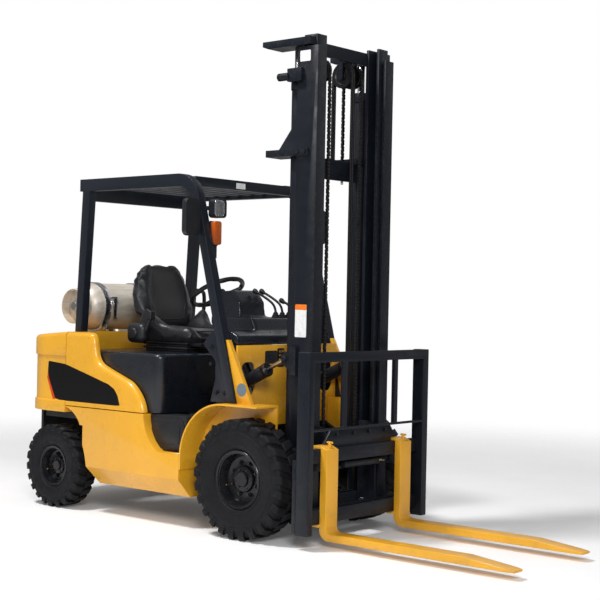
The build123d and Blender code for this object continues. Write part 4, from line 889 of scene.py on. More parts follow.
def sheave_set():
    """Grooved sheaves with the chain or hoses that bend round them."""
    wheels = [b for b in solids_of("sheaves") if b[1].y - b[0].y > NARROWEST_SHEAVE]
    chains_y = [(b[0].y + b[1].y) / 2 for b in solids_of("chains_front")]
    bodies, leaves, hoses = [], [], []
    centre_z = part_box("chains_front")[1].z
    for k, (low, high) in enumerate(wheels):
        y = (low.y + high.y) / 2
        x = (low.x + high.x) / 2
        half = (high.y - low.y) / 2
        is_chain = min(abs(y - c) for c in chains_y) < 0.01
        reach = middle("chains_front" if is_chain else "hoses_front").x - x
        floor = reach - (0.007 if is_chain else 0.008)
        outer = floor + 0.009
        profile = [(0.0123, -half), (0.026, -half), (0.028, -half * 0.7), (floor - 0.016, -half * 0.62),
                   (floor - 0.010, -half), (outer, -half), (outer + 0.001, -half * 0.86),
                   (floor, -half * 0.76), (floor, half * 0.76), (outer + 0.001, half * 0.86),
                   (outer, half), (floor - 0.010, half), (floor - 0.016, half * 0.62),
                   (0.028, half * 0.7), (0.026, half), (0.0123, half), (0.0123, -half)]
        bodies.append(lathe(f"sheave_{k}", profile, (x, y, centre_z), (0, 1, 0), 64, 30))
        if is_chain:
            count = round(math.pi * reach / LINK_PITCH)
            wrap = []
            for i in range(count):
                turn = math.pi * (i + 0.5) / count
                wrap.append((Vector((x + reach * math.cos(turn), y, centre_z + reach * math.sin(turn))),
                             Vector((-math.sin(turn), 0, math.cos(turn))),
                             Vector((math.cos(turn), 0, math.sin(turn)))))
            leaves.append(chain_mesh(f"wrap_{k}", wrap))
        else:
            for low_h, high_h in solids_of("hoses_front"):
                hose_y = (low_h.y + high_h.y) / 2
                points = [(x + reach * math.cos(math.pi * i / 24), hose_y,
                           centre_z + reach * math.sin(math.pi * i / 24)) for i in range(25)]
                hoses.append(pipe(f"wrap_{k}", points, (high_h.y - low_h.y) / 2, 14))
    add_piece("sheave_wheels", joined("sheave_wheels", bodies, 30), "sheave", "inner_mast",
              ["sheaves"])
    add_parts("chain_wraps", leaves, "chain", "inner_mast")
    add_parts("hose_wraps", hoses, "hose", "inner_mast")


# Seat

VOXEL = 0.0055
SOFT_FRAMES = 20
SOFT_PRESSURE = 4.0


def puffed(mesh, cap):
    """Foam under a tight cover: the shape is remeshed and swollen as cloth, by no more than the cap."""
    fine = evaluated(mesh, [("REMESH", {"mode": "VOXEL", "voxel_size": VOXEL})])
    scene = bpy.context.scene
    holder = placed("foam", fine)
    cloth = holder.modifiers.new("foam", "CLOTH")
    cloth.settings.quality = 5
    cloth.settings.mass = 0.3
    cloth.settings.tension_stiffness = 15
    cloth.settings.compression_stiffness = 15
    cloth.settings.bending_stiffness = 6
    cloth.settings.use_pressure = True
    cloth.settings.uniform_pressure_force = SOFT_PRESSURE
    cloth.settings.effector_weights.gravity = 0
    cloth.point_cache.frame_start = 1
    cloth.point_cache.frame_end = SOFT_FRAMES
    rest = [v.co.copy() for v in fine.vertices]
    for step in range(1, SOFT_FRAMES + 1):
        scene.frame_set(step)
    graph = bpy.context.evaluated_depsgraph_get()
    swollen = [v.co.copy() for v in holder.evaluated_get(graph).data.vertices]
    scene.frame_set(1)
    bpy.data.objects.remove(holder)
    for v, before, after in zip(fine.vertices, rest, swollen):
        move = after - before
        if move.length > cap:
            move *= cap / move.length
        v.co = before + move
    fine.update()
    made = evaluated(fine, [("SMOOTH", {"factor": 0.5, "iterations": 10})])
    smooth(made, 180)
    return made


def table(points, x):
    """Smooth value from a short table of (place, value)."""
    for (x0, y0), (x1, y1) in zip(points, points[1:]):
        if x <= x1:
            share = max(0.0, (x - x0) / (x1 - x0))
            share = share * share * (3 - 2 * share)
            return y0 + (y1 - y0) * share
    return points[-1][1]


def grid_shell(name, front, back, columns, rows):
    """A closed form between a front and a back surface, each a function of two numbers from 0 to 1."""
    verts = []
    for surface in (front, back):
        for j in range(rows + 1):
            for i in range(columns + 1):
                verts.append(surface(i / columns, j / rows))
    layer = (columns + 1) * (rows + 1)

    def index(i, j, level):
        return level * layer + j * (columns + 1) + i

    faces = []
    for level in (0, 1):
        for j in range(rows):
            for i in range(columns):
                faces.append([index(i, j, level), index(i + 1, j, level), index(i + 1, j + 1, level),
                              index(i, j + 1, level)])
    border = [(i, 0) for i in range(columns)] + [(columns, j) for j in range(rows)]
    border += [(columns - i, rows) for i in range(columns)] + [(0, rows - j) for j in range(rows)]
    for (a, b), (c, d) in zip(border, border[1:] + border[:1]):
        faces.append([index(a, b, 0), index(c, d, 0), index(c, d, 1), index(a, b, 1)])
    return mesh_from(name, verts, faces, 180)


BACK_WIDTH = [(0, 0.185), (0.14, 0.215), (0.32, 0.250), (0.52, 0.250), (0.72, 0.224), (0.86, 0.188),
              (0.95, 0.150), (1.0, 0.112)]
BACK_DROP = 0.050  # how far the cover reaches down behind the cushion


def seat_frame():
    """Where the seat back stands: its foot, its up and forward directions, and its height."""
    low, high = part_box("seat_back")
    lean = math.radians(12)
    foot = Vector((high.x - 0.1 * math.cos(lean), 0, low.z))
    rise = (high.z - low.z) / math.cos(lean)
    up = Vector((-math.sin(lean), 0, math.cos(lean)))
    ahead = Vector((math.cos(lean), 0, math.sin(lean)))
    return foot, up, ahead, rise + 0.006


def seat_back():
    foot, up, ahead, rise = seat_frame()

    def place(u, v, depth):
        across_share = 2 * u - 1
        half = table(BACK_WIDTH, v)
        sag = 0.02 * across_share ** 2 * max(0.0, (v - 0.8) / 0.2)
        level = v * (rise + BACK_DROP) - BACK_DROP - sag
        return foot + Vector((0, across_share * half, 0)) + up * level + ahead * depth

    def front_face(u, v):
        edge = abs(2 * u - 1)
        end = min(v, 1 - v) * 14
        bolster = 0.026 * math.exp(-((edge - 0.78) / 0.16) ** 2)
        lumbar = 0.012 * math.exp(-((v - 0.25) / 0.2) ** 2)
        fall = 0.028 * max(0.0, (edge - 0.86) / 0.14) ** 2 + 0.02 * max(0.0, 1 - end) ** 2
        return place(u, v, 0.058 + bolster + lumbar - fall)

    def back_face(u, v):
        edge = abs(2 * u - 1)
        end = min(v, 1 - v) * 14
        fall = 0.03 * max(0.0, (edge - 0.8) / 0.2) ** 2 + 0.02 * max(0.0, 1 - end) ** 2
        return place(u, v, 0.012 + fall)

    mesh = puffed(grid_shell("seat_back", front_face, back_face, 28, 32), 0.022)
    piece = add_piece("backrest_cover", mesh, "vinyl", "hood", ["seat_back"])
    mesh.materials.append(MATS["knit"])
    for polygon in mesh.polygons:
        centre = polygon.center
        level = (centre - foot).dot(up) / rise
        depth = (centre - foot).dot(ahead)
        half = table(BACK_WIDTH, min(max(level, 0), 1)) * 0.60
        if depth > 0.04 and abs(centre.y) < half and 0.05 < level < 0.90:
            polygon.material_index = 1
    seam(piece, "back_seam", [
        foot + Vector((0, s * table(BACK_WIDTH, v) * 0.60, 0)) + up * v * rise + ahead * 0.2
        for s, levels in ((-1, [0.05 + 0.85 * i / 24 for i in range(25)]),
                          (1, [0.90 - 0.85 * i / 24 for i in range(25)]))
        for v in levels], -ahead)
    return piece


def seam(piece, name, targets, direction):
    """Piping laid along a soft piece's surface, where a closed line of points falls on it."""
    points = []
    for target in targets + targets[:1]:
        hit, spot, normal, _ = piece.ray_cast(piece.matrix_world.inverted() @ target, direction)
        if hit:
            points.append(spot + normal * 0.0012)
    if len(points) > 3:
        add_piece(name, pipe(name, points, 0.0032, 8, 4), "vinyl", "hood")


def seat_cushion():
    low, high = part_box("seat_cushion")
    floor = low.z
    flat = floor + 0.095
    length = high.x - low.x
    half = (high.y - low.y) / 2

    def outline(u, v):
        across_share = 2 * u - 1
        round_front = 0.05 * (abs(across_share) ** 3) * max(0.0, (v - 0.8) / 0.2)
        narrow = 1 - 0.10 * max(0.0, (v - 0.55) / 0.45) ** 1.5
        x = low.x + 0.012 + v * (length - 0.024) - round_front
        return x, across_share * (half - 0.012) * narrow

    def top_face(u, v):
        x, y = outline(u, v)
        edge = abs(2 * u - 1)
        wing = 0.150 * math.exp(-((v - 0.25) / 0.17) ** 2) * max(0.0, (edge - 0.62) / 0.38) ** 1.1
        dip = -0.014 * (1 - edge ** 2)
        front_lip = -0.045 * max(0.0, (v - 0.80) / 0.20) ** 2
        rim_fall = -0.016 * max(0.0, (edge - 0.90) / 0.10) ** 2
        side = 0.022 * math.exp(-((edge - 0.80) / 0.14) ** 2)
        return Vector((x, y, flat - 0.022 + wing + dip + front_lip + rim_fall + side))

    def under_face(u, v):
        x, y = outline(u, v)
        edge = abs(2 * u - 1)
        lift = 0.028 * edge ** 6 + 0.02 * max(0.0, (v - 0.85) / 0.15) ** 2
        return Vector((x, y, floor + 0.008 + lift))

    mesh = puffed(grid_shell("seat_cushion", top_face, under_face, 30, 30), 0.016)
    piece = add_piece("cushion_cover", mesh, "vinyl", "hood", ["seat_cushion"])
    mesh.materials.append(MATS["knit"])
    for polygon in mesh.polygons:
        centre = polygon.center
        share = (centre.x - low.x) / length
        if abs(centre.y) < half * 0.56 and 0.16 < share < 0.86 and polygon.normal.z > 0.3:
            polygon.material_index = 1
    corners = [(0.16, -0.56), (0.16, 0.56), (0.86, 0.56), (0.86, -0.56)]
    targets = []
    for (a, b), (c, d) in zip(corners, corners[1:] + corners[:1]):
        targets += [Vector((low.x + length * (a + (c - a) * i / 12), half * (b + (d - b) * i / 12),
                            floor + 0.5)) for i in range(12)]
    seam(piece, "cushion_seam", targets, Vector((0, 0, -1)))
    return piece


def seat_hardware():
    """Suspension base with its bellows, side knobs, rails and belt reel."""
    low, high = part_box("seat_base")
    parts = []
    folds = 4
    step = (high.z - low.z) / folds
    for k in range(folds):
        grow = 0.0 if k % 2 else -0.012
        parts.append(block("fold", (low.x - grow, low.y - grow, low.z + k * step),
                           (high.x + grow, high.y + grow, low.z + (k + 1) * step), 0.006))
    add_parts("seat_bellows", parts, "plastic", "hood",
              ["seat_base"])
    cushion_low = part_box("seat_cushion")[0]
    for side in SIDES:
        x = cushion_low.x + 0.10
        y = side * (abs(cushion_low.y) + 0.002)
        z = cushion_low.z + 0.075
        profile = [(0.0001, 0.0), (0.042, 0.0), (0.044, 0.006), (0.040, 0.016), (0.014, 0.018),
                   (0.012, 0.028), (0.0001, 0.029)]
        cap = lathe("recliner_cap", profile, (x, y - side * 0.004, z), (0, side, 0), 32, 30)
        add_piece(f"recliner_cap_{SIDE_NAMES[side]}", cap, "plastic", "hood")
    rails = [block("rail", (low.x - 0.03, side * 0.15 - 0.018, high.z - 0.022),
                   (high.x + 0.09, side * 0.15 + 0.018, high.z - 0.002), 0.002) for side in SIDES]
    add_parts("seat_rails", rails, "black", "hood")
    reel = [block("reel", at(-1.205, -0.325, 1.048), at(-1.050, -0.246, 1.172), 0.038, 7),
            rod("buckle_stem", at(-1.060, -0.285, 1.120), at(-1.010, -0.290, 1.210), 0.012, 16),
            block("buckle", at(-1.030, -0.312, 1.195), at(-0.990, -0.268, 1.250), 0.008, 3),
            lathe("dial", [(0.0001, 0), (0.034, 0), (0.036, 0.005), (0.030, 0.014), (0.0001, 0.016)],
                  at(-1.130, -0.325, 1.108), (0, -1, 0), 32, 30)]
    add_parts("belt_reel", reel, "plastic", "hood")


# Steering wheel, levers and dash

# Each spoke's distance from the hub's middle, half width and height
SPOKE = [(0.030, 0.022, -0.016), (0.080, 0.013, -0.014), (0.130, 0.012, -0.006), (0.160, 0.018, -0.002)]


def steering_wheel():
    lean = math.radians(30)
    normal = Vector((-math.sin(lean), 0, math.cos(lean)))
    centre = at(-0.725, 0, 1.373)
    first, second = Vector((0, 1, 0)), normal.cross(Vector((0, 1, 0)))
    ring, thick = 0.165, 0.0145
    verts = []
    around, sides = 96, 16
    for i in range(around):
        turn = 2 * math.pi * i / around
        spoke = first * math.cos(turn) + second * math.sin(turn)
        bump = 0.0012 * math.cos(12 * turn)
        for k in range(sides):
            roll = 2 * math.pi * k / sides
            grip = thick + (bump if math.cos(roll) < 0 else 0)
            verts.append(centre + spoke * (ring + grip * math.cos(roll)) + normal * grip * math.sin(roll))
    parts = [mesh_from("rim", verts, tube_faces(sides, around, closed=True), 60)]
    hub = [(0.0001, -0.041), (0.036, -0.041), (0.044, -0.030), (0.050, -0.014), (0.046, -0.002),
           (0.030, 0.004), (0.0001, 0.006)]
    parts.append(lathe("hub", hub, centre, normal, 40, 40))
    for degrees in (90, 210, 330):
        turn = math.radians(degrees)
        out = first * math.cos(turn) + second * math.sin(turn)
        side = normal.cross(out)
        verts = []
        for reach, half, drop in SPOKE:
            for across_share, level in ((-1, 0), (1, 0), (1, -1), (-1, -1)):
                verts.append(centre + out * reach + side * half * across_share
                             + normal * (drop + 0.008 * level))
        faces = tube_faces(4, len(SPOKE)) + end_faces(4, len(SPOKE))
        parts.append(bevelled(mesh_from("spoke", verts, faces), 0.003, 2))
    add_piece("steering_rim", joined("steering_rim", parts, 50), "grip", "steering_wheel",
              ["steering_wheel"])


def lever_set():
    """Bent black levers with knobs and rubber boots, in place of the plain ones."""
    knobs, levers, boots = [], [], []
    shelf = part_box("control_levers")[0].z
    foot_x = -0.275
    for y, knob_x, knob_z in ((0.04, -0.440, 1.380), (0.10, -0.440, 1.380), (0.16, -0.330, 1.325)):
        foot = at(foot_x, y, shelf)
        knob = at(knob_x, y, knob_z)
        bend = at(foot_x + 0.006, y, shelf + 0.06)
        levers.append(pipe("lever", [foot, bend, foot.lerp(knob, 0.55) + Vector((0.02, 0, 0.03)), knob],
                           0.0075, 12))
        up = (knob - bend).normalized()
        profile = [(0.0001, -0.020), (0.009, -0.020), (0.013, -0.008), (0.0155, 0.006), (0.0135, 0.017),
                   (0.007, 0.022), (0.0001, 0.0225)]
        knobs.append(lathe("knob", profile, knob, up, 24, 50))
        folds = [(0.024 - 0.0022 * k + (0.003 if k % 2 else 0), 0.0052 * k) for k in range(7)]
        profile = [(0.0001, 0)] + folds + [(0.006, 0.038), (0.0001, 0.038)]
        boots.append(lathe("boot", profile, foot, (0, 0, 1), 24))
    add_parts("lever_rods", levers, "black", "chassis",
              ["control_levers"])
    add_piece("lever_knobs", joined("lever_knobs", knobs, 50), "grip", "chassis")
    add_parts("lever_boots", boots, "pedal", "chassis")


def dash_fittings():
    """Front of the dash: a framed black recess and two columns of brass couplings."""
    face = AXLE_X - 0.130
    parts = []
    frame_points = [Vector((face, -0.157 + a, 1.000 + b)) for a, b in round_rectangle(0.104, 0.076, 0.012)]
    parts.append(plate("recess", frame_points, (0.004, 0, 0), 0.001))
    for k in range(3):
        parts.append(block("rib", (face + 0.003, -0.200, 0.975 + 0.018 * k),
                           (face + 0.010, -0.114, 0.985 + 0.018 * k), 0.002))
    add_parts("dash_recess", parts, "plastic", "chassis")
    couplings = []
    for k in range(4):
        z = 1.032 - 0.024 * k
        for y in (-0.085, -0.060):
            spot = Vector((face, y, z))
            couplings.append(hexagon("coupling", spot, (1, 0, 0), 0.017, 0.010))
            couplings.append(rod("stub", spot, spot + Vector((0.022, 0, 0)), 0.0055, 12))
    add_piece("dash_couplings", joined("dash_couplings", couplings, 30), "brass", "chassis")
    backing = [Vector((face, -0.0725 + a, 0.996 + b)) for a, b in round_rectangle(0.062, 0.110, 0.010)]
    add_piece("coupling_plate", plate("coupling_plate", backing, (0.003, 0, 0), 0.001), "black",
              "chassis")


# Lamps and mirrors

def headlights():
    lenses, dishes = [], []
    for lamp_low, lamp_high in solids_of("headlights"):
        y = lamp_low.y + 0.044 if lamp_low.y < 0 else lamp_high.y - 0.044
        z = (lamp_low.z + lamp_high.z) / 2
        face = AXLE_X - 0.350 + 0.031
        dish = [Vector((face, y + a, z + b)) for a, b in round_rectangle(0.078, 0.098, 0.024)]
        dishes.append(plate("dish", dish, (0.003, 0, 0), 0.001))
        lens = [Vector((face + 0.003, y + a, z + b)) for a, b in round_rectangle(0.072, 0.092, 0.022)]
        lenses.append(plate("lens", lens, (0.008, 0, 0), 0.006))
    add_parts("headlight_bodies", [rounded(clean_copy("headlights"), 0.006, 3)], "plastic", "chassis",
              ["headlights"])
    add_parts("headlight_dishes", dishes, "chrome", "chassis")
    add_parts("headlight_lenses", lenses, "lens", "chassis")


def turn_signals():
    lenses, bases = [], []
    for low, high in solids_of("turn_signals"):
        y = (low.y + high.y) / 2
        x0, x1 = low.x, high.x
        split = low.z + 0.001
        half_y = (high.y - low.y) / 2
        outline = [Vector((x0 + 0.014, y + a, (split + high.z) / 2 + b))
                   for a, b in round_rectangle(2 * half_y - 0.002, high.z - split - 0.002, 0.014)]
        lenses.append(plate("amber", outline, (x1 - x0 - 0.016, 0, 0), 0.006))
        bases.append(block("base", (x0, low.y, split - 0.004), (x0 + 0.015, high.y, high.z), 0.004))
        bases.append(block("stem", (x0 + 0.012, y - 0.010, low.z - 0.075),
                           (x0 + 0.028, y + 0.010, split + 0.006), 0.003))
        for k in range(5):
            z = split + (k + 1) * (high.z - split) / 6
            lenses.append(block("rib", (x1 - 0.004, y - half_y + 0.010, z - 0.003),
                                (x1 - 0.0005, y + half_y - 0.010, z + 0.003), 0.001, 1))
    add_parts("signal_lenses", lenses, "amber", "chassis",
              ["turn_signals"])
    add_parts("signal_bases", bases, "plastic", "chassis")


def mirror_glasses():
    glasses = []
    for low, high in solids_of("mirrors"):
        outer = low.y if low.y < 0 else high.y
        sign = -1 if outer < 0 else 1
        y = outer - sign * 0.060
        z = (low.z + high.z) / 2
        outline = [Vector((low.x + 0.0035, y + a, z + b)) for a, b in round_rectangle(0.100, 0.192, 0.028)]
        glasses.append(plate("glass", outline, (-0.0030, 0, 0), 0.0008))
    add_parts("mirror_glasses", glasses, "mirror", "chassis")


# Gas bottle

def gas_bottle():
    low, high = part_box("gas_bottle")
    centre = (low + high) / 2
    radius = (high.z - low.z) / 2
    near = low.y
    length = high.y - near
    profile = [(0.0001, 0.040), (0.050, 0.040), (0.060, 0.044), (0.100, 0.056), (0.124, 0.072),
               (radius - 0.006, 0.104), (radius, 0.130), (radius, length * 0.50 - 0.006),
               (radius, length * 0.50 - 0.004), (radius - 0.0015, length * 0.50),
               (radius, length * 0.50 + 0.004), (radius, length - 0.100), (radius - 0.006, length - 0.072),
               (0.124, length - 0.036), (0.100, length - 0.018), (0.060, length - 0.004), (0.0001, length)]
    tank = lathe("tank", profile, (centre.x, near, centre.z), (0, 1, 0), 96, 30)
    collar = [(0.106, 0.000), (0.109, -0.001), (0.112, 0.002), (0.112, 0.068), (0.106, 0.068), (0.106, 0.000)]
    guard = lathe("collar", collar, (centre.x, near, centre.z), (0, 1, 0), 72, 40)
    add_piece("bottle_shell", joined("bottle_shell", [tank, guard], 30), "tank", "chassis",
              ["gas_bottle"])
    valve = [rod("neck", (centre.x, near + 0.042, centre.z), (centre.x, near + 0.020, centre.z), 0.017, 24),
             rod("outlet", (centre.x, near + 0.030, centre.z), (centre.x + 0.052, near + 0.030, centre.z),
                 0.010, 20),
             rod("relief", (centre.x, near + 0.030, centre.z), (centre.x - 0.036, near + 0.030, centre.z),
                 0.008, 20)]
    add_parts("bottle_valve", valve, "brass", "chassis")
    wheel_profile = [(0.0001, 0.0), (0.026, 0.0), (0.030, 0.003), (0.030, 0.009), (0.026, 0.012),
                     (0.0001, 0.012)]
    hand = lathe("hand", wheel_profile, (centre.x, near + 0.019, centre.z), (0, -1, 0), 14, 20)
    add_piece("bottle_handwheel", hand, "steel", "chassis")


def strap_latches():
    """Over-centre latches on the bottle's two bands."""
    parts = []
    centre = middle("gas_bottle")
    radius = (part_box("gas_bottle")[1].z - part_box("gas_bottle")[0].z) / 2 + 0.007
    for y in (-0.165, 0.175):
        for degrees in (12, 22):
            turn = math.radians(degrees)
            spot = Vector((centre.x + radius * math.cos(turn), y, centre.z + radius * math.sin(turn)))
            parts.append(rod("pin", spot - Vector((0, 0.026, 0)), spot + Vector((0, 0.026, 0)), 0.006, 14))
        foot = Vector((centre.x + radius + 0.002, y, centre.z - 0.02))
        parts.append(block("handle", foot + Vector((-0.002, -0.016, -0.05)),
                           foot + Vector((0.006, 0.016, 0.075)), 0.002))
        parts.append(block("cradle_foot", (centre.x + 0.085, y - 0.030, 1.086),
                           (centre.x + 0.135, y + 0.030, 1.120), 0.004))
    add_parts("strap_latches", parts, "bracket", "chassis")


# Panels, films and fittings

def chosen_bevel(mesh, choose, width, segments):
    """Round only the edges that a test picks."""
    form = bmesh.new()
    form.from_mesh(mesh)
    picked = [e for e in form.edges if len(e.link_faces) == 2 and choose(e)]
    bmesh.ops.bevel(form, geom=picked, offset=width, segments=segments, profile=0.5, affect="EDGES",
                    clamp_overlap=True)
    made = bpy.data.meshes.new(mesh.name)
    form.to_mesh(made)
    form.free()
    return made


def centre_of(edge):
    return (edge.verts[0].co + edge.verts[1].co) / 2


def through(points, steps=6):
    """A smooth line through points."""
    made = []
    last = len(points) - 1
    for k in range(last):
        before, start, end, after = (points[max(k - 1, 0)], points[k], points[k + 1], points[min(k + 2, last)])
        for i in range(steps):
            t = i / steps
            made.append(tuple(
                0.5 * (2 * b + (c - a) * t + (2 * a - 5 * b + 4 * c - d) * t ** 2
                       + (3 * b - a - 3 * c + d) * t ** 3)
                for a, b, c, d in zip(before, start, end, after)))
    made.append(points[-1])
    return made


SHOULDER = 0.032
PANEL_EDGE = [(-1.275, 1.108), (-1.244, 1.096), (-1.226, 1.062), (-1.216, 1.010), (-1.203, 0.962),
              (-1.168, 0.922), (-1.078, 0.886), (-0.977, 0.851), (-0.890, 0.815), (-0.820, 0.748),
              (-0.788, 0.690), (-0.778, 0.650)]


def side_panel_skins():
    """Side panels with a broad round shoulder along their waved front edge, and the rear pillars."""
    low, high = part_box("side_panels")
    rear = low.x - AXLE_X
    outer, inner = high.y, high.y - 0.042
    curve = [(rear, high.z), (rear + 0.1, high.z)] + through(PANEL_EDGE)
    inward = []
    for k, (x, z) in enumerate(curve):
        (x0, z0), (x1, z1) = curve[max(k - 1, 0)], curve[min(k + 1, len(curve) - 1)]
        length = math.hypot(x1 - x0, z1 - z0)
        inward.append(((z1 - z0) / length, -(x1 - x0) / length))
    inward[0] = inward[1] = (0, -1)
    inward[-1] = (-1, 0)
    parts = []
    for side in SIDES:
        rings = [(inner, 0.0)]
        for k in range(9):
            turn = math.pi / 2 * k / 8
            rings.append((outer - SHOULDER * (1 - math.sin(turn)), SHOULDER * (1 - math.cos(turn))))
        verts = []
        for y, inset in rings:
            for (x, z), (nx, nz) in zip(curve, inward):
                verts.append(at(x + nx * inset, side * y, max(z + nz * inset, low.z)))
            verts.append(at(rear, side * y, low.z))
        count = len(curve) + 1
        faces = tube_faces(count, len(rings)) + end_faces(count, len(rings))
        parts.append(mesh_from("side_panel", verts, faces, 40))
        y0, y1 = sorted((side * 0.430, side * (inner + 0.001)))
        parts.append(block("pillar", at(rear, y0, low.z), at(-1.398, y1, high.z), 0.012, 4))
        y0, y1 = side * 0.429, side * 0.462
        parts.append(rod("hinge_pin", at(-1.412, y0, 0.996), at(-1.412, y1, 0.996), 0.012, 24))
    add_parts("side_panels_skin", parts, "yellow", "chassis",
              ["side_panels"])


def cut(mesh, cutter):
    """A mesh less another one."""
    tool = placed("cutter", cutter)
    made = evaluated(mesh, [("BOOLEAN", {"object": tool, "operation": "DIFFERENCE", "solver": "EXACT"})])
    bpy.data.objects.remove(tool)
    return made


def cowl_skin():
    """The dash cowl, with its edges rounded off broadly."""
    mesh = evaluated(clean_copy("instrument_cowl"),
                     [("REMESH", {"mode": "VOXEL", "voxel_size": 0.007}),
                      ("SMOOTH", {"factor": 0.5, "iterations": 16})])
    smooth(mesh, 60)
    add_piece("instrument_cowl_skin", mesh, "hood", "chassis",
              ["instrument_cowl"])


ARCH = [(-1.520, 0.250), (-1.520, 0.645), (-1.484, 0.640), (-1.452, 0.631), (-1.420, 0.616), (-1.392, 0.597),
        (-1.367, 0.573), (-1.347, 0.543), (-1.336, 0.500), (-1.326, 0.440), (-1.312, 0.370), (-1.295, 0.300),
        (-1.290, 0.250)]


def side_tank_skins():
    """Body sides, with the rear arch in one smooth sweep."""
    cutter = plate("arch", [at(x, -0.7, z) for x, z in ARCH], (0, 1.4, 0))
    dress("side_tanks", 0.010, 4, cut(clean_copy("side_tanks"), cutter), 45)


HEEL_OUTER = 0.058
HEEL_INNER = 0.030


def fork_skins():
    """Forged forks: rounded heels, blades that thin out towards narrow tips, and hooks."""
    back, face, base, top, tip = 0.448, 0.493, 0.039, 0.549, 1.670
    blade = base + 0.042
    half_width = 0.051
    stations = [((back, top), (face, top - 0.020), half_width), ((back, 0.40), (face, 0.40), half_width)]
    for k in range(9):
        turn = math.pi / 2 * k / 8
        along, down = 1 - math.cos(turn), 1 - math.sin(turn)
        stations.append(((back + HEEL_OUTER * along, base + HEEL_OUTER * down),
                         (face + HEEL_INNER * along, blade + HEEL_INNER * down), half_width))
    for x, half in ((0.80, half_width), (tip - 0.30, half_width), (tip - 0.18, 0.0505), (tip - 0.07, 0.049),
                    (tip - 0.025, 0.045), (tip - 0.006, 0.039), (tip, 0.033)):
        share = min(1.0, (tip - x) / 0.30)
        stations.append(((x, base), (x, base + 0.012 + 0.030 * share), half))
    parts = []
    for side in SIDES:
        y = side * 0.336
        verts = []
        for outer, inner, half in stations:
            verts += [at(outer[0], y - half, outer[1]), at(outer[0], y + half, outer[1]),
                      at(inner[0], y + half, inner[1]), at(inner[0], y - half, inner[1])]
        faces = tube_faces(4, len(stations)) + end_faces(4, len(stations))
        parts.append(bevelled(mesh_from("fork", verts, faces, 30), 0.004, 3))
        for x0, x1, z0, z1 in ((0.395, 0.449, 0.5325, top), (0.395, 0.407, 0.504, 0.534),
                               (0.395, 0.449, 0.1065, 0.1245)):
            parts.append(block("hook", at(x0, y - half_width, z0), at(x1, y + half_width, z1), 0.002))
    add_parts("fork_pair", parts, "fork", "side_shifter", ["forks"])


BLACK_TAIL = 0.362


def counterweight_skin():
    """The counterweight with a rounded top and a black tail."""
    low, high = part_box("counterweight")

    def on_rim(edge):
        normals = sorted(f.normal.z for f in edge.link_faces)
        spot = centre_of(edge)
        upright = normals[1] > 0.95 and abs(normals[0]) < 0.2
        return upright and spot.z > high.z - 0.075 and spot.x < high.x - 0.002

    def on_belt(edge):
        normals = sorted(f.normal.z for f in edge.link_faces)
        spot = centre_of(edge)
        return normals[1] > 0.9 and abs(normals[0]) < 0.3 and low.z + 0.4 < spot.z < high.z - 0.3

    mesh = chosen_bevel(clean_copy("counterweight"), on_rim, 0.026, 6)
    mesh = chosen_bevel(mesh, on_belt, 0.007, 3)
    piece = dress("counterweight", 0.005, 3, mesh, 45)
    piece.data.materials.append(MATS["frame"])
    for polygon in piece.data.polygons:
        if polygon.center.z < low.z + BLACK_TAIL:
            polygon.material_index = 1


def film(name, points, y, side, material, body="chassis"):
    """A thin film on an upright side face, from (x, z) points in metres from the front axle."""
    outline = [at(x, side * y, z) for x, z in points]
    return add_piece(name, plate(name, outline, (0, side * 0.0006, 0)), material, body)


ACCENT = [(-1.665, 0.918), (-1.480, 0.903), (-1.294, 0.856), (-1.085, 0.802), (-1.030, 0.775),
          (-1.000, 0.738), (-0.978, 0.677), (-1.593, 0.677), (-1.671, 0.833)]
SEAM = (-1.490, -1.484)


def clipped(points, limit, keep_front):
    """The part of an outline ahead of or behind an upright line."""
    made = []
    for (x0, z0), (x1, z1) in zip(points, points[1:] + points[:1]):
        inside_0 = (x0 > limit) == keep_front
        inside_1 = (x1 > limit) == keep_front
        if inside_0:
            made.append((x0, z0))
        if inside_0 != inside_1:
            share = (limit - x0) / (x1 - x0)
            made.append((limit, z0 + (z1 - z0) * share))
    return made


def softened(points, share=0.06):
    """An outline with its corners cut off."""
    made = []
    for (x0, z0), (x1, z1) in zip(points, points[1:] + points[:1]):
        for part in (share, 1 - share):
            made.append((x0 + (x1 - x0) * part, z0 + (z1 - z0) * part))
    return made


def accent_films():
    outline = softened(ACCENT)
    stripe = [(-1.668, 0.850), (-1.660, 0.812), (-1.592, 0.680), (-1.618, 0.680), (-1.676, 0.812)]
    for side in SIDES:
        tag = SIDE_NAMES[side]
        film(f"accent_panel_{tag}", clipped(outline, SEAM[1], True), 0.5601, side, "black_film")
        film(f"accent_weight_{tag}", clipped(outline, SEAM[0], False), 0.5511, side, "black_film")
        film(f"stripe_{tag}", stripe, 0.5515, side, "red_film")


def rect_points(x0, x1, z0, z1):
    return [((x0 + x1) / 2 + a, (z0 + z1) / 2 + b)
            for a, b in round_rectangle(x1 - x0, z1 - z0, 0.006)]


def blank_labels():
    """Plain coloured plates without any writing."""
    disc = [(-0.059 + 0.037 * math.cos(k * math.pi / 18), 0.826 + 0.037 * math.sin(k * math.pi / 18))
            for k in range(36)]
    for side in SIDES:
        tag = SIDE_NAMES[side]
        for name, box, y, material in (
                ("rail_label", (0.211, 0.293, 1.131, 1.312), 0.3441, "white_film"),
                ("rail_header", (0.211, 0.293, 1.282, 1.312), 0.3447, "orange_film"),
                ("mast_mark", (0.212, 0.287, 2.655, 2.715), 0.3441, "white_film")):
            film(f"{name}_{tag}", rect_points(*box), y, side, material, "outer_mast")
        film(f"cheek_disc_{tag}", disc, 0.4781, side, "grey_film")
    face = AXLE_X - 0.4857
    outline = [Vector((face, -0.062 + a, 2.014 + b)) for a, b in round_rectangle(0.080, 0.034, 0.004)]
    add_piece("guard_label", plate("guard_label", outline, (0.0006, 0, 0)), "white_film", "chassis")


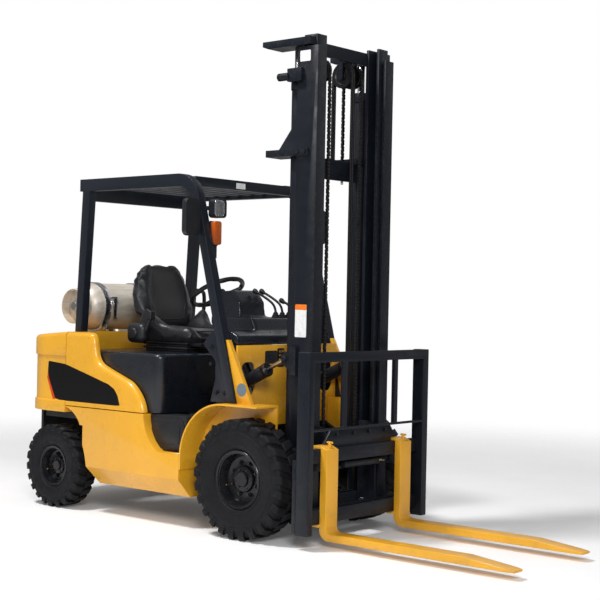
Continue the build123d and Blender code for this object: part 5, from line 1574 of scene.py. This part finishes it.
STEP_MIDDLE = (-0.619, 0.540)
STEP_FACE = 0.500


def step_panels():
    """Moulded riser in each step pocket and ribs on each tread."""
    x, z = STEP_MIDDLE
    for side in SIDES:
        tag = SIDE_NAMES[side]
        outer = [at(x + a, side * STEP_FACE, z + b) for a, b in round_rectangle(0.270, 0.186, 0.045)]
        inner = [at(x + a, side * (STEP_FACE + 0.007), z + b)
                 for a, b in round_rectangle(0.206, 0.122, 0.034)]
        parts = [plate("riser", outer, (0, side * 0.007, 0), 0.003),
                 plate("pad", inner, (0, side * 0.004, 0), 0.002),
                 rod("hole", at(-0.735, side * (STEP_FACE + 0.006), 0.606),
                     at(-0.735, side * (STEP_FACE + 0.009), 0.606), 0.010, 20)]
        add_parts(f"step_riser_{tag}", parts, "plastic", "chassis")
        ribs = []
        for k in range(6):
            y = side * (0.508 + 0.009 * k)
            ribs.append(block("rib", at(-0.640, y - 0.002, 0.4295), at(-0.480, y + 0.002, 0.4335), 0.001, 1))
        add_parts(f"step_ribs_{tag}", ribs, "yellow", "chassis")


def bolt_row(name, spots, axis, width, height, body):
    heads = [hexagon("bolt", spot, axis, width, height) for spot in spots]
    return add_parts(name, heads, "black", body, sharp=25)


def threaded_end(name, place, reach, nut_drops, body):
    """A chain's screwed end: a bolt with two nuts, given by their drops and heights."""
    parts = [rod("anchor", place + Vector((0, 0, reach[0])), place + Vector((0, 0, reach[1])), 0.0075, 16)]
    parts += [hexagon("nut", place + Vector((0, 0, -drop)), (0, 0, -1), 0.024, height)
              for drop, height in nut_drops]
    add_parts(name, parts, "steel", body, sharp=30)


def bolts_and_pins():
    for side in SIDES:
        tag = SIDE_NAMES[side]
        out = (0, side, 0)
        foot = [at(x, side * 0.4770, z) for x, z in ((-0.300, 1.060), (-0.300, 0.960), (-0.255, 0.800),
                                                     (-0.190, 0.800))]
        bolt_row(f"foot_bolts_{tag}", foot, out, 0.020, 0.011, "chassis")
        collar = [at(x, side * 0.3620, 2.154) for x in (0.215, 0.268)]
        bolt_row(f"collar_bolts_{tag}", collar, out, 0.022, 0.012, "outer_mast")
        pivot = [at(x, side * 0.3442, z) for x, z in ((0.225, 0.30), (0.225, 0.40), (0.225, 0.50))]
        bolt_row(f"pivot_bolts_{tag}", pivot, out, 0.026, 0.014, "outer_mast")
        tilt = [at(0.160, side * 0.3715, 1.010)]
        bolt_row(f"tilt_pin_cap_{tag}", tilt, out, 0.030, 0.010, "outer_mast")
        head = at(0.150, side * 0.284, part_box("lift_barrels")[1].z)
        gland = [(0.0245, -0.050), (0.041, -0.050), (0.041, -0.004), (0.037, 0.004), (0.0245, 0.004),
                 (0.0245, -0.050)]
        add_piece(f"lift_gland_{tag}", lathe("lift_gland", gland, head, (0, 0, 1), 40, 35), "black",
                  "outer_mast")
        threaded_end(f"chain_anchor_{tag}", at(0.132, side * 0.142, 2.070), (-0.055, 0.034),
                     ((0.002, 0.013), (0.018, 0.010)), "outer_mast")
        threaded_end(f"chain_foot_{tag}", at(0.260, side * 0.142, 0.440), (-0.060, 0.036),
                     ((0.0, 0.013), (0.016, 0.010)), "carriage")
        rollers = [rod("roller_cap", at(0.268, side * 0.215, z), at(0.268, side * 0.211, z), 0.016, 24)
                   for z in (0.175, 0.585)]
        add_parts(f"roller_caps_{tag}", rollers, "steel", "carriage")
        fork_y = side * 0.336
        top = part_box("forks")[1].z
        latch = [rod("latch_post", at(0.470, fork_y, top - 0.012), at(0.470, fork_y, top + 0.020), 0.009, 20),
                 rod("latch_pull", at(0.452, fork_y, top + 0.018), at(0.490, fork_y, top + 0.018), 0.006, 16)]
        add_parts(f"fork_latch_{tag}", latch, "fork", "side_shifter")
        backrest = [at(0.4450, side * 0.522, z) for z in (0.20, 0.30, 0.42)]
        bolt_row(f"backrest_bolts_{tag}", backrest, (1, 0, 0), 0.024, 0.012, "side_shifter")
    plate_bolts = [at(0.4235, y, 0.600) for y in (-0.22, -0.07, 0.07, 0.22)]
    bolt_row("shifter_bolts", plate_bolts, (1, 0, 0), 0.018, 0.010, "side_shifter")


def tilt_glands():
    """Dark ring nuts where each tilt rod leaves its barrel."""
    rear = at(-0.320, 0, 0.780)
    ahead = (at(0.160, 0, 1.010) - rear).normalized()
    rings = []
    for side in SIDES:
        start = rear + Vector((0, side * 0.348, 0)) + ahead * 0.352
        ring = [(0.0138, 0.0), (0.0395, 0.0), (0.0405, 0.003), (0.0405, 0.024), (0.036, 0.029),
                (0.0138, 0.029), (0.0138, 0.0)]
        rings.append(lathe("gland", ring, start, ahead, 40, 35))
    add_parts("tilt_glands", rings, "sheave", "tilt_barrels")


def mast_bracket():
    """Small plate with a black cylinder near the top of the near rail."""
    body = [block("plate", at(0.140, -0.372, 2.547), at(0.243, -0.3435, 2.620), 0.003),
            rod("cylinder", at(0.072, -0.362, 2.577), at(0.150, -0.362, 2.577), 0.022, 28)]
    add_parts("top_stop", body, "black", "outer_mast")


def pedal_pads():
    pads = []
    for y, width in ((-0.250, 0.064), (-0.120, 0.090), (0.060, 0.080)):
        for k in range(5):
            share = 0.12 + 0.19 * k
            foot = Vector((-0.328 + 0.098 * share, 0, 0.666 + 0.082 * share))
            centre = at(foot.x, y + width / 2, foot.z)
            pads.append(block("rib", centre + Vector((-0.004, -width / 2 + 0.006, -0.001)),
                              centre + Vector((0.004, width / 2 - 0.006, 0.0045)), 0.001, 1))
    add_parts("pedal_ribs", pads, "pedal", "chassis")


def rear_handle():
    """Grab handle on the outer side of the left rear post."""
    points = [at(-1.425, 0.494, 1.385), at(-1.425, 0.575, 1.385), at(-1.430, 0.600, 1.350),
              at(-1.435, 0.600, 1.230), at(-1.440, 0.575, 1.195), at(-1.440, 0.494, 1.195)]
    add_piece("rear_handle", pipe("rear_handle", points, 0.013, 14), "grip", "chassis")


# Everything in place

bpy.context.scene.view_settings.view_transform = "Standard"

# Each plain node's bevel width and segments
WIDTHS = {
    "overhead_guard": (0.011, 3), "fenders": (0.007, 3), "dash_panel": (0.003, 2), "hood": (0.004, 2),
    "engine": (0.012, 2), "chassis_frame": (0.004, 2),
    "front_axle": (0.006, 2), "steer_axle": (0.005, 2), "pedals": (0.002, 2),
    "outer_mast": (0.0035, 2), "inner_mast": (0.0035, 2), "carriage": (0.003, 2),
    "side_shifter": (0.003, 2), "load_backrest": (0.005, 3),
    "radiator_grille": (0.0012, 2), "steering_column": (0.003, 2), "bottle_bracket": (0.002, 2),
    "mirrors": (0.006, 3), "lift_barrels": (0.002, 2), "lift_rods": (0.001, 1), "tilt_barrels": (0.003, 2),
    "tilt_rods": (0.0015, 2), "shift_cylinder": (0.002, 2), "shift_rod": (0.001, 1),
    "knuckle_right": (0.004, 2), "knuckle_left": (0.004, 2),
}

for node, (width, segments) in WIDTHS.items():
    dress(node, width, segments)
side_panel_skins()
side_tank_skins()
cowl_skin()
counterweight_skin()
fork_skins()
for end in ("front", "rear"):
    for side in SIDES:
        tyre(end, side)
        rim(end, side)
chain_run("chains_rear", "outer_mast", "inner_mast", 2.100, 2.632)
chain_run("chains_front", "inner_mast", "carriage", 2.632, 0.470)
hose_run("hoses_rear", "outer_mast", "inner_mast", 2.100, 2.632)
hose_run("hoses_front", "inner_mast", "carriage", 2.632, 0.470)
sheave_set()
seat_back()
seat_cushion()
seat_hardware()
steering_wheel()
lever_set()
dash_fittings()
headlights()
turn_signals()
mirror_glasses()
gas_bottle()
strap_latches()
accent_films()
blank_labels()
step_panels()
bolts_and_pins()
tilt_glands()
mast_bracket()
pedal_pads()
rear_handle()
